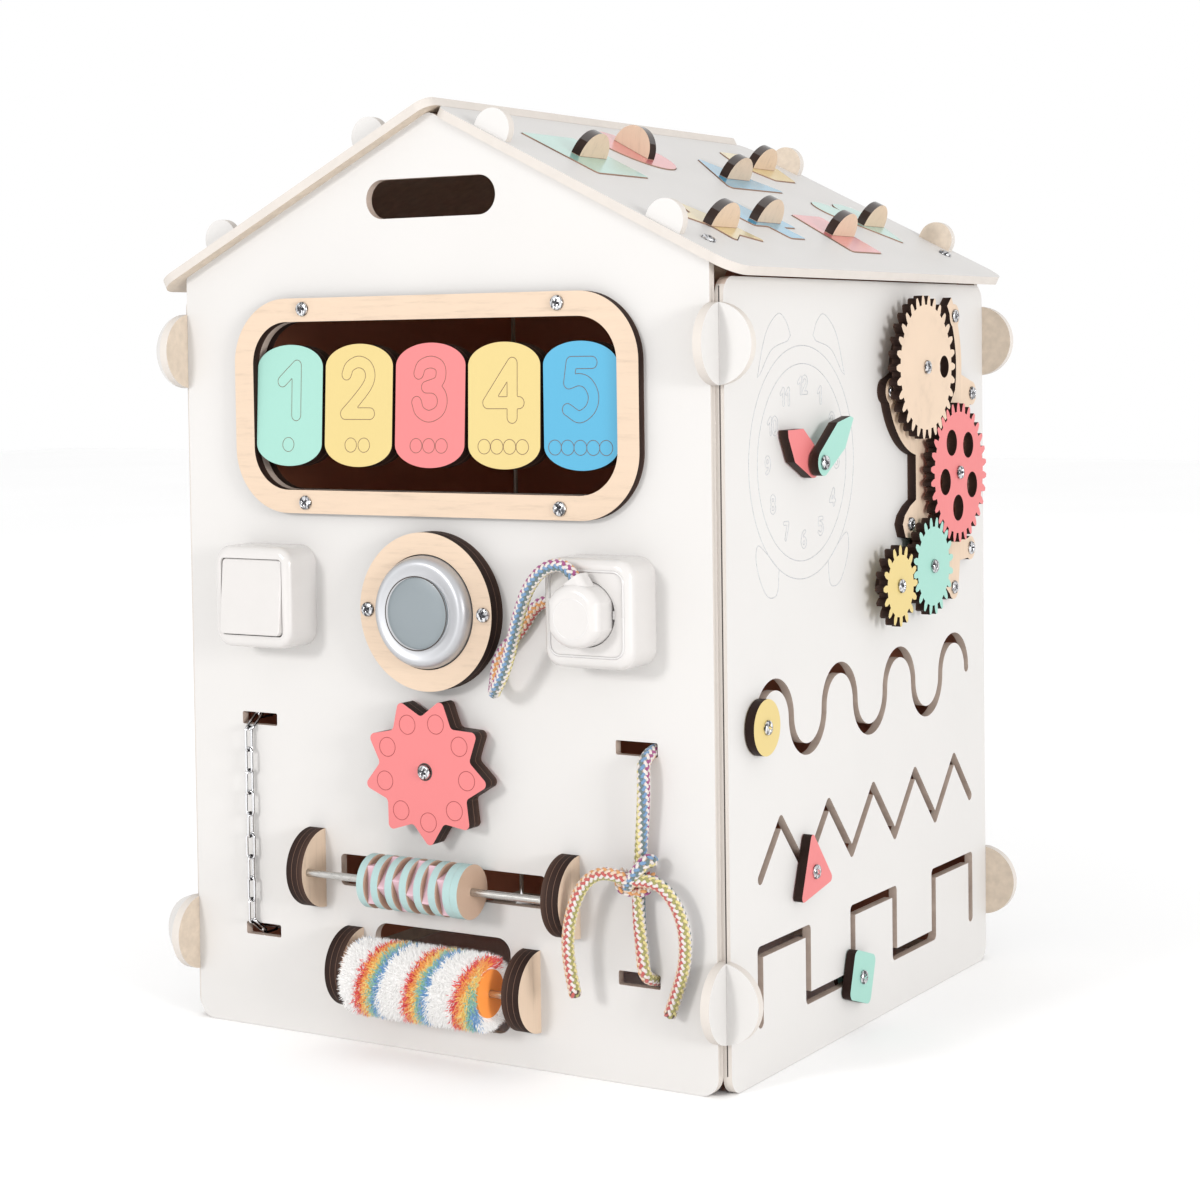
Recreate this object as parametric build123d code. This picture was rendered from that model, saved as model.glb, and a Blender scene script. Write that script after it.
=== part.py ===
from build123d import *
from math import acos, atan2, cos, degrees, hypot, pi, radians, sin, sqrt, tan
import os

# Wooden busy board: a four-walled plywood house with a pitched roof. The front wall carries number
# cards, a switch, a push light, a plug and socket, a star wheel, a chain, a tied rope and two
# rollers. The right wall carries a gear train, a clock and three slider tracks. The right half of
# the roof is a shape sorter.
#
# Millimetres. +Z up, +X to the right, +Y to the back. The origin is on the floor, at the centre of
# the rectangle that the four walls stand on. Places on the right wall and the roof are given from
# the house's front face, and places on the front wall from its centre line.

# ---- driving dimensions: house ----
HOUSE_W = 418.5
HOUSE_D = 413.1
SIDE_H = 500.0
PLY = 6.0
RIDGE_Z = 610.5
ROOF_PITCH = 26.5
ROOF_PLY = 6.0
EAVE_REACH = 12.0
LEFT_PANEL_OVERHANG = (10.0, 2.0)
RIGHT_PANEL_OVERHANG = (3.0, 6.0)
RIDGE_LAP = 7.6
RIDGE_GAP = 4.65
EAVE_CORNER_R = 17.0
RIDGE_CORNER_R = 10.0
WALL_CORNER_R = 12.0
APEX_R = 8.0

CORNER_TAB_R = 25.2
CORNER_TAB_Z = (58.5, 459.2)
ROOF_TAB_R = 13.2
ROOF_TAB_RISE = 3.2
ROOF_TAB_S = (49.3, 188.3)
JOINT_FIT = 0.1

HANDLE_W = 100.6
HANDLE_H = 25.4
HANDLE_Z = 555.8

CLEAT_L = 40.0
CLEAT_H = 18.0
CLEAT_W = 20.0
CLEAT_DOWN = 208.0

# ---- driving dimensions: boards and fasteners ----
FACE_PLY = 6.5
DOUBLE_PLY = 2 * FACE_PLY
SCREW_SHANK_D = 3.6
SCREW_HEAD_D = 9.6
SCREW_HEAD_H = 2.4
SCREW_L = 16.0
SCREW_FIT = 0.05
BOLT_SHANK_D = 5.0
BOLT_HEAD_D = 9.6
BOLT_HEAD_H = 2.6
BOLT_END = 7.0
NUT_D = 9.2
NUT_H = 4.0
WASHER_D = 13.0
RUNNING_FIT = 0.06

# ---- driving dimensions: window with number cards ----
WINDOW_Z = 422.0
CARD_W = 54.3
CARD_H = 80.5
CARD_STRAIGHT = 50.5
CARD_PITCH = 56.8
CARD_COUNT = 5
CARD_AIR = 0.75
CARD_FINGER_GAP = 15.45
OPENING_W = (CARD_COUNT - 1) * CARD_PITCH + CARD_W + 2 * CARD_AIR
OPENING_H = CARD_H + 2 * CARD_FINGER_GAP
OPENING_R = 28.0
FRAME_BORDER = 15.5
FRAME_W = OPENING_W + 2 * FRAME_BORDER
FRAME_H = OPENING_H + 2 * FRAME_BORDER
FRAME_R = 43.0
FRAME_SCREW_X = 99.3
FRAME_SCREW_Z = FRAME_H / 2 - 7.2
CARD_TILT = (3.0, 3.0, 3.0, 1.5, 0.0)
AXLE_D = 5.0
AXLE_HOLD = 8.0

# ---- driving dimensions: switch, light, socket ----
SWITCH_X = -HOUSE_W / 2 + 80.55
SWITCH_Z = 296.0
SWITCH_W = 63.5
SWITCH_H = 67.5
SWITCH_DEPTH = 29.0
SWITCH_R = 12.0
ROCKER_SIZE = 50.0
ROCKER_T = 7.0
ROCKER_TILT = -5.0
ROCKER_GAP = 0.6
ROCKER_PROUD = 1.2
ROCKER_WELL = 12.0

LIGHT_Z = 290.0
RING_OUTER_D = 102.5
RING_INNER_D = 74.5
RING_SCREW_X = 45.0
DOME_D = 73.2
DOME_PROUD = 22.5
DOME_RIM = 7.0
LENS_D = 47.0
LENS_T = 2.0
LIGHT_TRAVEL = 3.0
CUP_D = 74.0
CUP_WALL = 2.5
CUP_BACK = 20.0
CUP_FLANGE_D = 98.0
CUP_FLANGE_T = 3.0
CELL_D = 10.5
CELL_L = 44.5

SOCKET_X = HOUSE_W / 2 - 77.65
SOCKET_Z = 296.0
SOCKET_W = 63.5
SOCKET_H = 68.0
SOCKET_DEPTH = 30.0
SOCKET_R = 12.0
RECESS_D = 41.0
RECESS_DEPTH = 10.0
PLUG_D = 40.0
PLUG_FLATS = 36.0
PLUG_PROUD = 48.0
PLUG_ROUND = 6.0
PIN_D = 4.8
PIN_L = 9.0
PIN_PITCH = 19.0
PIN_FIT = 0.3
SPOUT_W = 14.0
SPOUT_L = 14.0
SPOUT_END = (-2.5, 22.0)
SPOUT_AT = 38.0
SPOUT_LEAN = 34.0

# ---- driving dimensions: star wheel ----
STAR_Z = 187.3
STAR_TIPS = 9
STAR_R = 49.5
STAR_VALLEY_R = 35.5
STAR_ROUND = 3.5
STAR_STANDOFF = 3.0
STAR_FIRST = -86.0

# ---- driving dimensions: rollers ----
ROD_OUT = 19.5
ROD_D = 5.0
SPINNER_Z = 114.0
SPINNER_SLOT_W = 160.5
SPINNER_SLOT_H = 21.0
SPINNER_SLOT_R = 3.0
SPINNER_BRACKET_X = 99.5
BRACKET_R = 26.3
DISC_D = 35.0
DISC_T = 5.5
DISC_SPACE = 0.1
DISC_COUNT = 7
DISC_START = -40.7
SQUARE_VERTEX = (45.0, 0.0, 19.0, -8.0, 66.0, 31.0)

ROLLER_Z = 50.5
ROLLER_SLOT_W = 106.5
ROLLER_SLOT_H = 62.0
ROLLER_SLOT_R = 10.0
ROLLER_BRACKET_X = 69.25
FLEECE_D = 50.0
FLEECE_L = 98.0
CORE_D = 30.6
CAP_T = 1.6

# ---- driving dimensions: chain and ropes ----
CHAIN_X = -HOUSE_W / 2 + 62.5
ROPE_X = HOUSE_W / 2 - 60.8
SLOT_Z = (66.5, 210.4)
CHAIN_SLOT_W = 29.5
CHAIN_SLOT_H = 8.5
ROPE_SLOT_W = 30.0
ROPE_SLOT_H = 9.0
SLOT_R = 1.2
LINK_WIRE = 1.7
LINK_L = 18.2
LINK_W = 7.2
LINK_PITCH = 14.65
LINK_TWIST = (85.0, -10.0, 86.0, 6.0, 100.0, 12.0, 96.0, -5.0, 92.0)
LINK_OUT = 5.0
LINK_LEAN = 38.0
LINK_PLAY = 0.12
CHAIN_SIDE = -6.0
KEEPER_D = 3.2
KEEPER_L = 40.0
ROPE_D = 8.4

# ---- driving dimensions: gear train on the right wall ----
GEAR_MODULE = 3.113
GEAR_TEETH = (30, 30, 20, 16)
GEAR_START = (270.0, 441.5)
GEAR_HEADING = (-53.54, -126.09, -170.7)
GEAR_BACKLASH = 0.45
GEAR_ADDENDUM = 0.86
GEAR_DEDENDUM = 1.2
GEAR_WASHER = 3.0
FINGER_D = 15.5
FINGER_R = 30.5
CORAL_HOLE_D = 18.5
CORAL_HOLE_R = 25.0
CORAL_HOLES = 5
CORAL_HOLE_FIRST = -95.0
CARRIER_SCREWS = (
    (341.3, 477.2),
    (371.2, 421.6),
    (231.9, 425.9),
    (262.2, 333.7),
    (367.3, 309.6),
    (336.7, 283.6),
)
CARRIER_LEFT = ((262.0, 445.0), (226.0, 432.2), (238.0, 401.5), (272.0, 381.0))
CARRIER_BELT = (
    (272.0, 381.0),
    (272.0, 350.0),
    (262.0, 346.0),
    (253.0, 340.0),
    (249.5, 334.0),
    (254.0, 325.0),
    (290.0, 320.0),
    (320.0, 400.0),
    (262.0, 445.0),
)
CARRIER_NECK = (
    (341.0, 424.0),
    (330.0, 412.0),
    (362.0, 400.0),
    (369.0, 416.0),
    (378.0, 424.0),
    (372.0, 430.0),
    (350.0, 436.0),
)
CARRIER_FOOT = (
    (330.0, 330.0),
    (335.0, 316.0),
    (365.0, 317.0),
    (368.0, 303.0),
    (348.0, 302.0),
    (345.0, 285.0),
    (330.0, 279.0),
    (300.0, 300.0),
)
CARRIER_HUB_R = 27.0
CARRIER_RIM = 1.5
CARRIER_ARMS = (26.0, 13.0)
LUG_R = 8.5
GUARD_CENTRE = (275.5, 441.5)
GUARD_R = 68.0
GUARD_W = 9.5

# ---- driving dimensions: clock ----
CLOCK_AT = (111.0, 383.0)
HOUR_L = 41.5
HOUR_W = 20.0
HOUR_SHOULDER = (23.0, 12.0)
HOUR_ANGLE = 150.0
MINUTE_L = 51.5
MINUTE_W = 17.0
MINUTE_SHOULDER = (30.5, 10.0)
HAND_TIP = (3.0, 2.8)
MINUTE_ANGLE = 32.5
HAND_WASHER = 1.0

# ---- driving dimensions: slider tracks ----
WAVE_START = 44.0
WAVE_MARGIN = 40.1
WAVE_Z = 222.0
WAVE_ARCHES = 7
WAVE_R = (HOUSE_D - WAVE_START - WAVE_MARGIN) / (2 * WAVE_ARCHES)
WAVE_SLOT = 7.5
ZIG_FIRST = (46.3, 126.5)
ZIG_LAST = (HOUSE_D - 35.3, 126.5)
ZIG_START = 75.0
ZIG_MARGIN = 63.7
ZIG_LOW = 120.5
ZIG_HIGH = 158.5
ZIG_TURNS = 9
ZIG_STEP = (HOUSE_D - ZIG_START - ZIG_MARGIN) / (ZIG_TURNS - 1)
ZIG_SLOT = 7.0
STEP_START = 45.0
STEP_MARGIN = 35.1
STEP_LOW = 37.0
STEP_HIGH = 81.0
STEP_POSTS = 6
STEP_W = (HOUSE_D - STEP_START - STEP_MARGIN) / (STEP_POSTS - 1)
STEP_SLOT = 7.5
SLIDER_T = 6.3
SLIDER_AIR = 0.8
SLIDER_PIN_D = 6.0
SLIDER_BACK_D = 20.0
SLIDER_BACK_T = 3.0
SLIDER_HEAD_D = 9.0
SLIDER_HEAD_H = 2.0
ROUND_SLIDER_D = 35.4
TRIANGLE_R = 27.7
TRIANGLE_ROUND = 3.0
TRIANGLE_TURN = 9.7
SQUARE_SLIDER = 33.0
SQUARE_TURN = -18.0

# ---- driving dimensions: shape sorter on the right half of the roof ----
# Each piece sits at a share of the house's depth and a distance down the slope from the ridge.
SORTER_AT = {
    "sorter_square": (0.1932, 73.4),
    "sorter_circle": (0.4245, 50.3),
    "sorter_triangle": (0.6361, 90.5),
    "sorter_hexagon": (0.8529, 56.3),
    "sorter_star": (0.2005, 180.0),
    "sorter_cross": (0.4026, 167.9),
    "sorter_parallelogram": (0.6022, 184.0),
    "sorter_heart": (0.8371, 155.9),
}
SORTER_FIT = 0.6
SORTER_PROUD = 0.8
SORTER_ROUND = 2.5
SORTER_SQUARE = 65.0
SORTER_CIRCLE_R = 33.0
SORTER_TRIANGLE = ((-42.0, -18.0), (42.0, -18.0), (2.0, 38.0))
SORTER_HEXAGON = (33.0, 30.0)
SORTER_STAR = (35.0, 18.0)
SORTER_CROSS = (60.0, 22.0)
SORTER_PARALLELOGRAM = ((-32.0, -31.0), (15.0, -31.0), (32.0, 31.0), (-13.0, 31.0))
HEART_LOBE = 18.0
HEART_RISE = 16.0
HEART_SIDE = (34.2, 10.5)
HEART_POINT = -37.0
KNOB_R = 17.0
KNOB_T = 6.8

FRONT_Y = -HOUSE_D / 2
RIGHT_X = HOUSE_W / 2
FRONT_IN = FRONT_Y + PLY
RIGHT_IN = RIGHT_X - PLY

os.makedirs("parts", exist_ok=True)


def save_group(name, shapes):
    """Write one node: all solids of the given shapes."""
    solids = []
    for shape in shapes:
        solids.extend(shape.solids())
    node = Compound(children=solids) if len(solids) > 1 else solids[0]
    export_step(node, f"parts/{name}.step")


def save(name, shape):
    save_group(name, [shape])


# ---- frames of the faces that carry the pieces ----
def front_plane(y):
    """Sketch plane with x to the right and y up; extrudes towards the viewer in front."""
    return Plane(origin=(0, y, 0), x_dir=(1, 0, 0), z_dir=(0, -1, 0))


def side_plane(x):
    """Sketch plane on the right wall with x measured from the house's front face and y up."""
    return Plane(origin=(x, FRONT_Y, 0), x_dir=(0, 1, 0), z_dir=(1, 0, 0))


def roof_plane():
    """Underside of the right roof panel: x from the front face, y up the slope, z outwards."""
    pitch = radians(ROOF_PITCH)
    return Plane(origin=(0, FRONT_Y, RIDGE_Z), x_dir=(0, 1, 0), z_dir=(sin(pitch), 0, cos(pitch)))


def on_front(sketch, out, thick):
    """Plate on the front wall whose back lies `out` in front of the wall's face."""
    return extrude(front_plane(FRONT_Y - out) * sketch, thick)


def on_side(sketch, out, thick):
    return extrude(side_plane(RIGHT_X + out) * sketch, thick)


def through_front(sketch):
    return extrude(front_plane(FRONT_IN + PLY) * sketch, 3 * PLY)


def through_side(sketch):
    return extrude(side_plane(RIGHT_IN - PLY) * sketch, 3 * PLY)


def at(x, y, shape, turn=0.0):
    return Pos(x, y) * Rot(0, 0, turn) * shape


def front_pin(x, z, out, length, diameter):
    """Cylinder along Y whose front end lies `out` in front of the front wall's face."""
    return extrude(front_plane(FRONT_Y - out + length) * at(x, z, Circle(diameter / 2)), length)


def side_pin(y, z, out, length, diameter):
    """Cylinder along X whose outer end lies `out` outside the right wall's face."""
    return extrude(side_plane(RIGHT_X + out - length) * at(y, z, Circle(diameter / 2)), length)


def stadium(p, q, width):
    """Slot of the given width between two centres, with round ends."""
    length = hypot(q[0] - p[0], q[1] - p[1])
    turn = degrees(atan2(q[1] - p[1], q[0] - p[0]))
    return at((p[0] + q[0]) / 2, (p[1] + q[1]) / 2, SlotCenterToCenter(length, width), turn)


def outline(points, radius=0.0):
    sketch = make_face(Polyline(*points, close=True))
    if radius:
        sketch = fillet(sketch.vertices(), radius)
    return sketch


def domed_head(diameter, height):
    """Low pan head that stands on its local XY plane, rounded over its top edge."""
    head = extrude(Circle(diameter / 2), height)
    return fillet(head.edges().group_by(Axis.Z)[-1], 0.45 * height)


def screw(location, length=SCREW_L):
    """Wood screw along the location's +Z: the head stands on its plane and the shank lies below."""
    shank = Pos(0, 0, -length) * extrude(Circle(SCREW_SHANK_D / 2), length)
    return location * (domed_head(SCREW_HEAD_D, SCREW_HEAD_H) + shank)


def screw_hole(location, length=SCREW_L):
    depth = length + 1.0
    return location * (Pos(0, 0, -depth) * extrude(Circle(SCREW_SHANK_D / 2 + SCREW_FIT), depth + 1.0))


# ---- screws: where each one sits and which way it faces ----
def front_screw_at(x, z, out):
    return front_plane(FRONT_Y - out).location * Pos(x, z, 0)


def side_screw_at(y, z, out):
    return side_plane(RIGHT_X + out).location * Pos(y, z, 0)


def back_of_front_wall_at(x, z):
    """Faces into the house, from the front wall's inner face; the shank runs forwards."""
    return Plane(origin=(x, FRONT_IN, z), x_dir=(1, 0, 0), z_dir=(0, 1, 0)).location


window_screw_places = []
for side in (-1, 1):
    for level in (-1, 1):
        x = side * FRAME_SCREW_X
        z = WINDOW_Z + level * FRAME_SCREW_Z
        window_screw_places.append(front_screw_at(x, z, FACE_PLY))

ring_screw_places = []
for side in (-1, 1):
    ring_screw_places.append(front_screw_at(side * RING_SCREW_X, LIGHT_Z, DOUBLE_PLY))

carrier_screw_places = []
for y, z in CARRIER_SCREWS:
    carrier_screw_places.append(side_screw_at(y, z, FACE_PLY))

base_screw_places = []
for x, z, width in ((SWITCH_X, SWITCH_Z, SWITCH_W), (SOCKET_X, SOCKET_Z, SOCKET_W)):
    for side in (-1, 1):
        base_screw_places.append(back_of_front_wall_at(x + side * 0.44 * width, z))

bracket_screw_places = []
for x, z in ((SPINNER_BRACKET_X, SPINNER_Z), (ROLLER_BRACKET_X, ROLLER_Z)):
    for side in (-1, 1):
        for level in (-1, 1):
            bracket_screw_places.append(back_of_front_wall_at(side * x, z + level * 0.6 * BRACKET_R))

CLEAT_Y = (PLY + CLEAT_L / 2, HOUSE_D - PLY - CLEAT_L / 2)
roof_screw_places = []
for y in CLEAT_Y:
    right_place = roof_plane().location * Pos(y, -CLEAT_DOWN, ROOF_PLY)
    roof_screw_places.append(right_place)


# ---- walls ----
def gable_outline():
    half = HOUSE_W / 2 - PLY
    shoulder = RIDGE_Z - half * tan(radians(ROOF_PITCH))
    sketch = outline([(-half, 0), (half, 0), (half, shoulder), (0, RIDGE_Z), (-half, shoulder)])
    top = sketch.vertices().sort_by(Axis.Y)[-1]
    bottoms = sketch.vertices().sort_by(Axis.Y)[:2]
    sketch = fillet(top, APEX_R)
    bottoms = sketch.vertices().sort_by(Axis.Y)[:2]
    sketch = fillet(bottoms, WALL_CORNER_R)
    shoulders = sketch.vertices().filter_by(lambda v: abs(v.Y - shoulder) < 0.01)
    return fillet(shoulders, 3.0)


def roof_tabs():
    """Round-topped tabs that stand through slots in the roof, on both slopes."""
    tabs = []
    pitch = radians(ROOF_PITCH)
    for side in (-1, 1):
        for s in ROOF_TAB_S:
            foot = (side * s * cos(pitch), RIDGE_Z - s * sin(pitch))
            height = ROOF_PLY + ROOF_TAB_RISE
            stem = Pos(0, height / 2 - 2.0) * Rectangle(2 * ROOF_TAB_R, height + 4.0)
            cap = Pos(0, height) * Circle(ROOF_TAB_R)
            tabs.append(at(foot[0], foot[1], stem + cap, -side * ROOF_PITCH))
    return tabs


def corner_disc(centre, z):
    return at(centre, z, Circle(CORNER_TAB_R))


def front_wall_sketch():
    """Outline shared by the front and back walls, with corner and roof tabs."""
    sketch = gable_outline()
    for tab in roof_tabs():
        sketch += tab
    crossing = HOUSE_W / 2 - PLY / 2
    slot_w = PLY + 2 * JOINT_FIT
    for z in CORNER_TAB_Z:
        for side in (-1, 1):
            sketch += corner_disc(side * crossing, z)
            slot = Rectangle(slot_w, CORNER_TAB_R + 1.0)
            sketch -= at(side * crossing, z + (CORNER_TAB_R + 1.0) / 2, slot)
    sketch -= at(0, HANDLE_Z, SlotOverall(HANDLE_W, HANDLE_H))
    return sketch


def side_wall_sketch():
    """Outline of a side wall, measured from the front face, with corner tabs."""
    start = PLY + JOINT_FIT / 2
    end = HOUSE_D - PLY - JOINT_FIT / 2
    middle = HOUSE_D / 2
    sketch = at(middle, SIDE_H / 2, RectangleRounded(end - start, SIDE_H, WALL_CORNER_R))
    slot_w = PLY + 2 * JOINT_FIT
    for z in CORNER_TAB_Z:
        for crossing in (PLY / 2, HOUSE_D - PLY / 2):
            sketch += corner_disc(crossing, z)
            slot = Rectangle(slot_w, CORNER_TAB_R + 1.0)
            sketch -= at(crossing, z - (CORNER_TAB_R + 1.0) / 2, slot)
    return sketch


def window_opening():
    return at(0, WINDOW_Z, RectangleRounded(OPENING_W, OPENING_H, OPENING_R))


def make_front_wall():
    sketch = front_wall_sketch()
    sketch -= window_opening()
    slots = at(0, SPINNER_Z, RectangleRounded(SPINNER_SLOT_W, SPINNER_SLOT_H, SPINNER_SLOT_R))
    slots += at(0, ROLLER_Z, RectangleRounded(ROLLER_SLOT_W, ROLLER_SLOT_H, ROLLER_SLOT_R))
    for z in SLOT_Z:
        slots += at(CHAIN_X, z, RectangleRounded(CHAIN_SLOT_W, CHAIN_SLOT_H, SLOT_R))
        slots += at(ROPE_X, z, RectangleRounded(ROPE_SLOT_W, ROPE_SLOT_H, SLOT_R))
    slots += at(0, LIGHT_Z, Circle(CUP_D / 2 + 0.3))
    slots += at(0, STAR_Z, Circle(BOLT_SHANK_D / 2 + RUNNING_FIT))
    wall = extrude(front_plane(FRONT_IN) * (sketch - slots), PLY)
    notch = Rectangle(OPENING_W + 2 * AXLE_HOLD, AXLE_D + 2 * RUNNING_FIT)
    wall -= through_front(at(0, WINDOW_Z, notch))
    for place in window_screw_places + ring_screw_places + base_screw_places + bracket_screw_places:
        wall -= screw_hole(place, SCREW_L + FACE_PLY)
    return wall


def make_back_wall():
    return extrude(front_plane(FRONT_IN) * front_wall_sketch(), PLY).moved(Location((0, HOUSE_D - PLY, 0)))


def wave_points():
    return [(WAVE_START + 2 * WAVE_R * k, WAVE_Z) for k in range(WAVE_ARCHES + 1)]


def wave_slot():
    """Row of half-ring slots, over and under the centre line in turn."""
    reach = WAVE_R + WAVE_SLOT
    sketch = at(wave_points()[0][0], WAVE_Z, Circle(WAVE_SLOT / 2))
    sketch += at(wave_points()[-1][0], WAVE_Z, Circle(WAVE_SLOT / 2))
    for k in range(WAVE_ARCHES):
        centre = WAVE_START + WAVE_R * (2 * k + 1)
        ring = Circle(WAVE_R + WAVE_SLOT / 2) - Circle(WAVE_R - WAVE_SLOT / 2)
        half = Pos(0, (reach if k % 2 == 0 else -reach) / 2) * Rectangle(2 * reach, reach)
        sketch += at(centre, WAVE_Z, ring & half)
    return sketch


def zigzag_points():
    points = [ZIG_FIRST]
    for k in range(ZIG_TURNS):
        points.append((ZIG_START + ZIG_STEP * k, ZIG_LOW if k % 2 else ZIG_HIGH))
    return points + [ZIG_LAST]


def step_points():
    points = []
    for k in range(STEP_POSTS):
        y = STEP_START + STEP_W * k
        ends = (STEP_LOW, STEP_HIGH) if k % 2 == 0 else (STEP_HIGH, STEP_LOW)
        points.append((y, ends[0]))
        points.append((y, ends[1]))
    return points


def track(points, width):
    sketch = stadium(points[0], points[1], width)
    for p, q in zip(points[1:], points[2:]):
        sketch += stadium(p, q, width)
    return sketch


def make_right_wall():
    sketch = side_wall_sketch()
    sketch -= wave_slot()
    sketch -= track(zigzag_points(), ZIG_SLOT)
    sketch -= track(step_points(), STEP_SLOT)
    for y, z in gear_centres() + [CLOCK_AT]:
        sketch -= at(y, z, Circle(BOLT_SHANK_D / 2 + RUNNING_FIT))
    wall = extrude(side_plane(RIGHT_IN) * sketch, PLY)
    for place in carrier_screw_places:
        wall -= screw_hole(place)
    return wall


def make_left_wall():
    wall = extrude(side_plane(RIGHT_IN) * side_wall_sketch(), PLY)
    return wall.moved(Location((PLY - HOUSE_W, 0, 0)))


# ---- roof ----
def roof_panel_sketch(overhang, top):
    """Panel in the roof plane: x from the front face, y up the slope with 0 at the ridge."""
    low = -(HOUSE_W / 2 + EAVE_REACH) / cos(radians(ROOF_PITCH))
    start = -overhang[0]
    end = HOUSE_D + overhang[1]
    sketch = at((start + end) / 2, (low + top) / 2, Rectangle(end - start, top - low))
    eave_corners = sketch.vertices().filter_by(lambda v: v.Y < low + 0.01)
    sketch = fillet(eave_corners, EAVE_CORNER_R)
    ridge_corners = sketch.vertices().filter_by(lambda v: v.Y > top - 0.01)
    sketch = fillet(ridge_corners, RIDGE_CORNER_R)
    slot = Rectangle(PLY + 2 * JOINT_FIT, 2 * (ROOF_TAB_R + JOINT_FIT))
    for s in ROOF_TAB_S:
        sketch -= at(PLY / 2, -s, slot)
        sketch -= at(HOUSE_D - PLY / 2, -s, slot)
    return sketch


def sorter_place(name):
    share, down = SORTER_AT[name]
    return (share * HOUSE_D, -down)


def sorter_shapes():
    """Outline of each sorter piece in the roof plane, by name."""
    own = {}
    own["sorter_square"] = Rectangle(SORTER_SQUARE, SORTER_SQUARE)
    own["sorter_triangle"] = outline(SORTER_TRIANGLE)
    hexagon = []
    for k in range(6):
        a = radians(60 * k)
        hexagon.append((SORTER_HEXAGON[0] * cos(a), SORTER_HEXAGON[1] * sin(a)))
    own["sorter_hexagon"] = outline(hexagon)
    star = []
    for k in range(10):
        a = radians(90 + 36 * k)
        star.append((SORTER_STAR[k % 2] * cos(a), SORTER_STAR[k % 2] * sin(a)))
    own["sorter_star"] = outline(star)
    own["sorter_cross"] = Rectangle(*SORTER_CROSS) + Rectangle(*reversed(SORTER_CROSS))
    own["sorter_parallelogram"] = outline(SORTER_PARALLELOGRAM)
    for name in own:
        own[name] = fillet(own[name].vertices(), SORTER_ROUND)
    own["sorter_circle"] = Circle(SORTER_CIRCLE_R)
    own["sorter_heart"] = heart()
    placed = {}
    for name, shape in own.items():
        x, y = sorter_place(name)
        placed[name] = at(x, y, shape)
    return placed


def heart():
    right = Pos(HEART_LOBE - 0.5, HEART_RISE) * Circle(HEART_LOBE)
    left = Pos(0.5 - HEART_LOBE, HEART_RISE) * Circle(HEART_LOBE)
    side_x, side_y = HEART_SIDE
    point = make_face(Polyline((-side_x, side_y), (side_x, side_y), (0, HEART_POINT), close=True))
    wedge = fillet(point.vertices().sort_by(Axis.Y)[0], SORTER_ROUND)
    middle = Pos(0, 0.75 * HEART_RISE) * Rectangle(2.2 * HEART_LOBE, HEART_RISE)
    return right + left + wedge + middle


# Offset of each knob from its piece's centre, and its turn.
KNOB_PLACES = {
    "sorter_square": (3.0, -1.0, 0.0),
    "sorter_circle": (1.0, -1.0, 80.0),
    "sorter_triangle": (0.0, 3.0, 0.0),
    "sorter_hexagon": (2.0, -1.0, 0.0),
    "sorter_star": (-3.0, -4.0, 0.0),
    "sorter_cross": (0.0, -2.0, 0.0),
    "sorter_parallelogram": (3.0, -1.0, 0.0),
    "sorter_heart": (2.5, -5.0, 0.0),
}


def make_roof_right():
    sketch = roof_panel_sketch(RIGHT_PANEL_OVERHANG, -RIDGE_GAP)
    for shape in sorter_shapes().values():
        sketch -= offset(shape, SORTER_FIT)
    panel = extrude(roof_plane() * sketch, ROOF_PLY)
    for place in roof_screw_places:
        panel -= screw_hole(place)
    return panel


def mirrored(shape):
    return mirror(shape, about=Plane.YZ)


def make_roof_left():
    """Panel that laps over the ridge, so that the right one butts against its underside."""
    sketch = roof_panel_sketch(LEFT_PANEL_OVERHANG, RIDGE_LAP)
    panel = extrude(roof_plane() * sketch, ROOF_PLY)
    for place in roof_screw_places:
        panel -= screw_hole(place)
    return mirrored(panel)


def make_sorter(name, shape):
    """Shape that fills its hole in the roof, with a half-round knob standing on it."""
    plate = extrude(roof_plane() * shape, ROOF_PLY + SORTER_PROUD)
    y, along = sorter_place(name)
    y_off, along_off, turn = KNOB_PLACES[name]
    half = Circle(KNOB_R) & Pos(0, KNOB_R / 2) * Rectangle(2 * KNOB_R, KNOB_R)
    knob = Rot(90, 0, 0) * (Pos(0, 0, -KNOB_T / 2) * extrude(half, KNOB_T))
    foot = Pos(y + y_off, along + along_off, ROOF_PLY + SORTER_PROUD)
    place = roof_plane().location * foot * Rot(0, 0, turn)
    return [plate, place * knob]


def make_roof_cleats():
    """Wooden blocks inside the gables that the roof screws bite into."""
    cleats = []
    for y in CLEAT_Y:
        block = Box(CLEAT_L, CLEAT_W, CLEAT_H, align=(Align.CENTER, Align.CENTER, Align.MAX))
        cleat = roof_plane().location * Pos(y, -CLEAT_DOWN, 0) * block
        hole = screw_hole(roof_plane().location * Pos(y, -CLEAT_DOWN, ROOF_PLY))
        cleats.append(cleat - hole)
        cleats.append(mirrored(cleat - hole))
    return cleats


# ---- window with number cards ----
def frame_sketch():
    ring = RectangleRounded(FRAME_W, FRAME_H, FRAME_R) - RectangleRounded(OPENING_W, OPENING_H, OPENING_R)
    return at(0, WINDOW_Z, ring)


def make_window_frame():
    frame = on_front(frame_sketch(), 0, FACE_PLY)
    for place in window_screw_places:
        frame -= screw_hole(place)
    return frame


def make_window_back_frame():
    frame = on_front(frame_sketch(), -PLY - FACE_PLY, FACE_PLY)
    for place in window_screw_places:
        frame -= screw_hole(place, SCREW_L + FACE_PLY)
    return frame


AXLE_Y = FRONT_Y + PLY / 2


def make_card_axle():
    length = OPENING_W + 2 * AXLE_HOLD - 0.2
    start = Plane(origin=(-length / 2, AXLE_Y, WINDOW_Z), x_dir=(0, 1, 0), z_dir=(1, 0, 0))
    return extrude(start * Circle(AXLE_D / 2), length)


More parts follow.
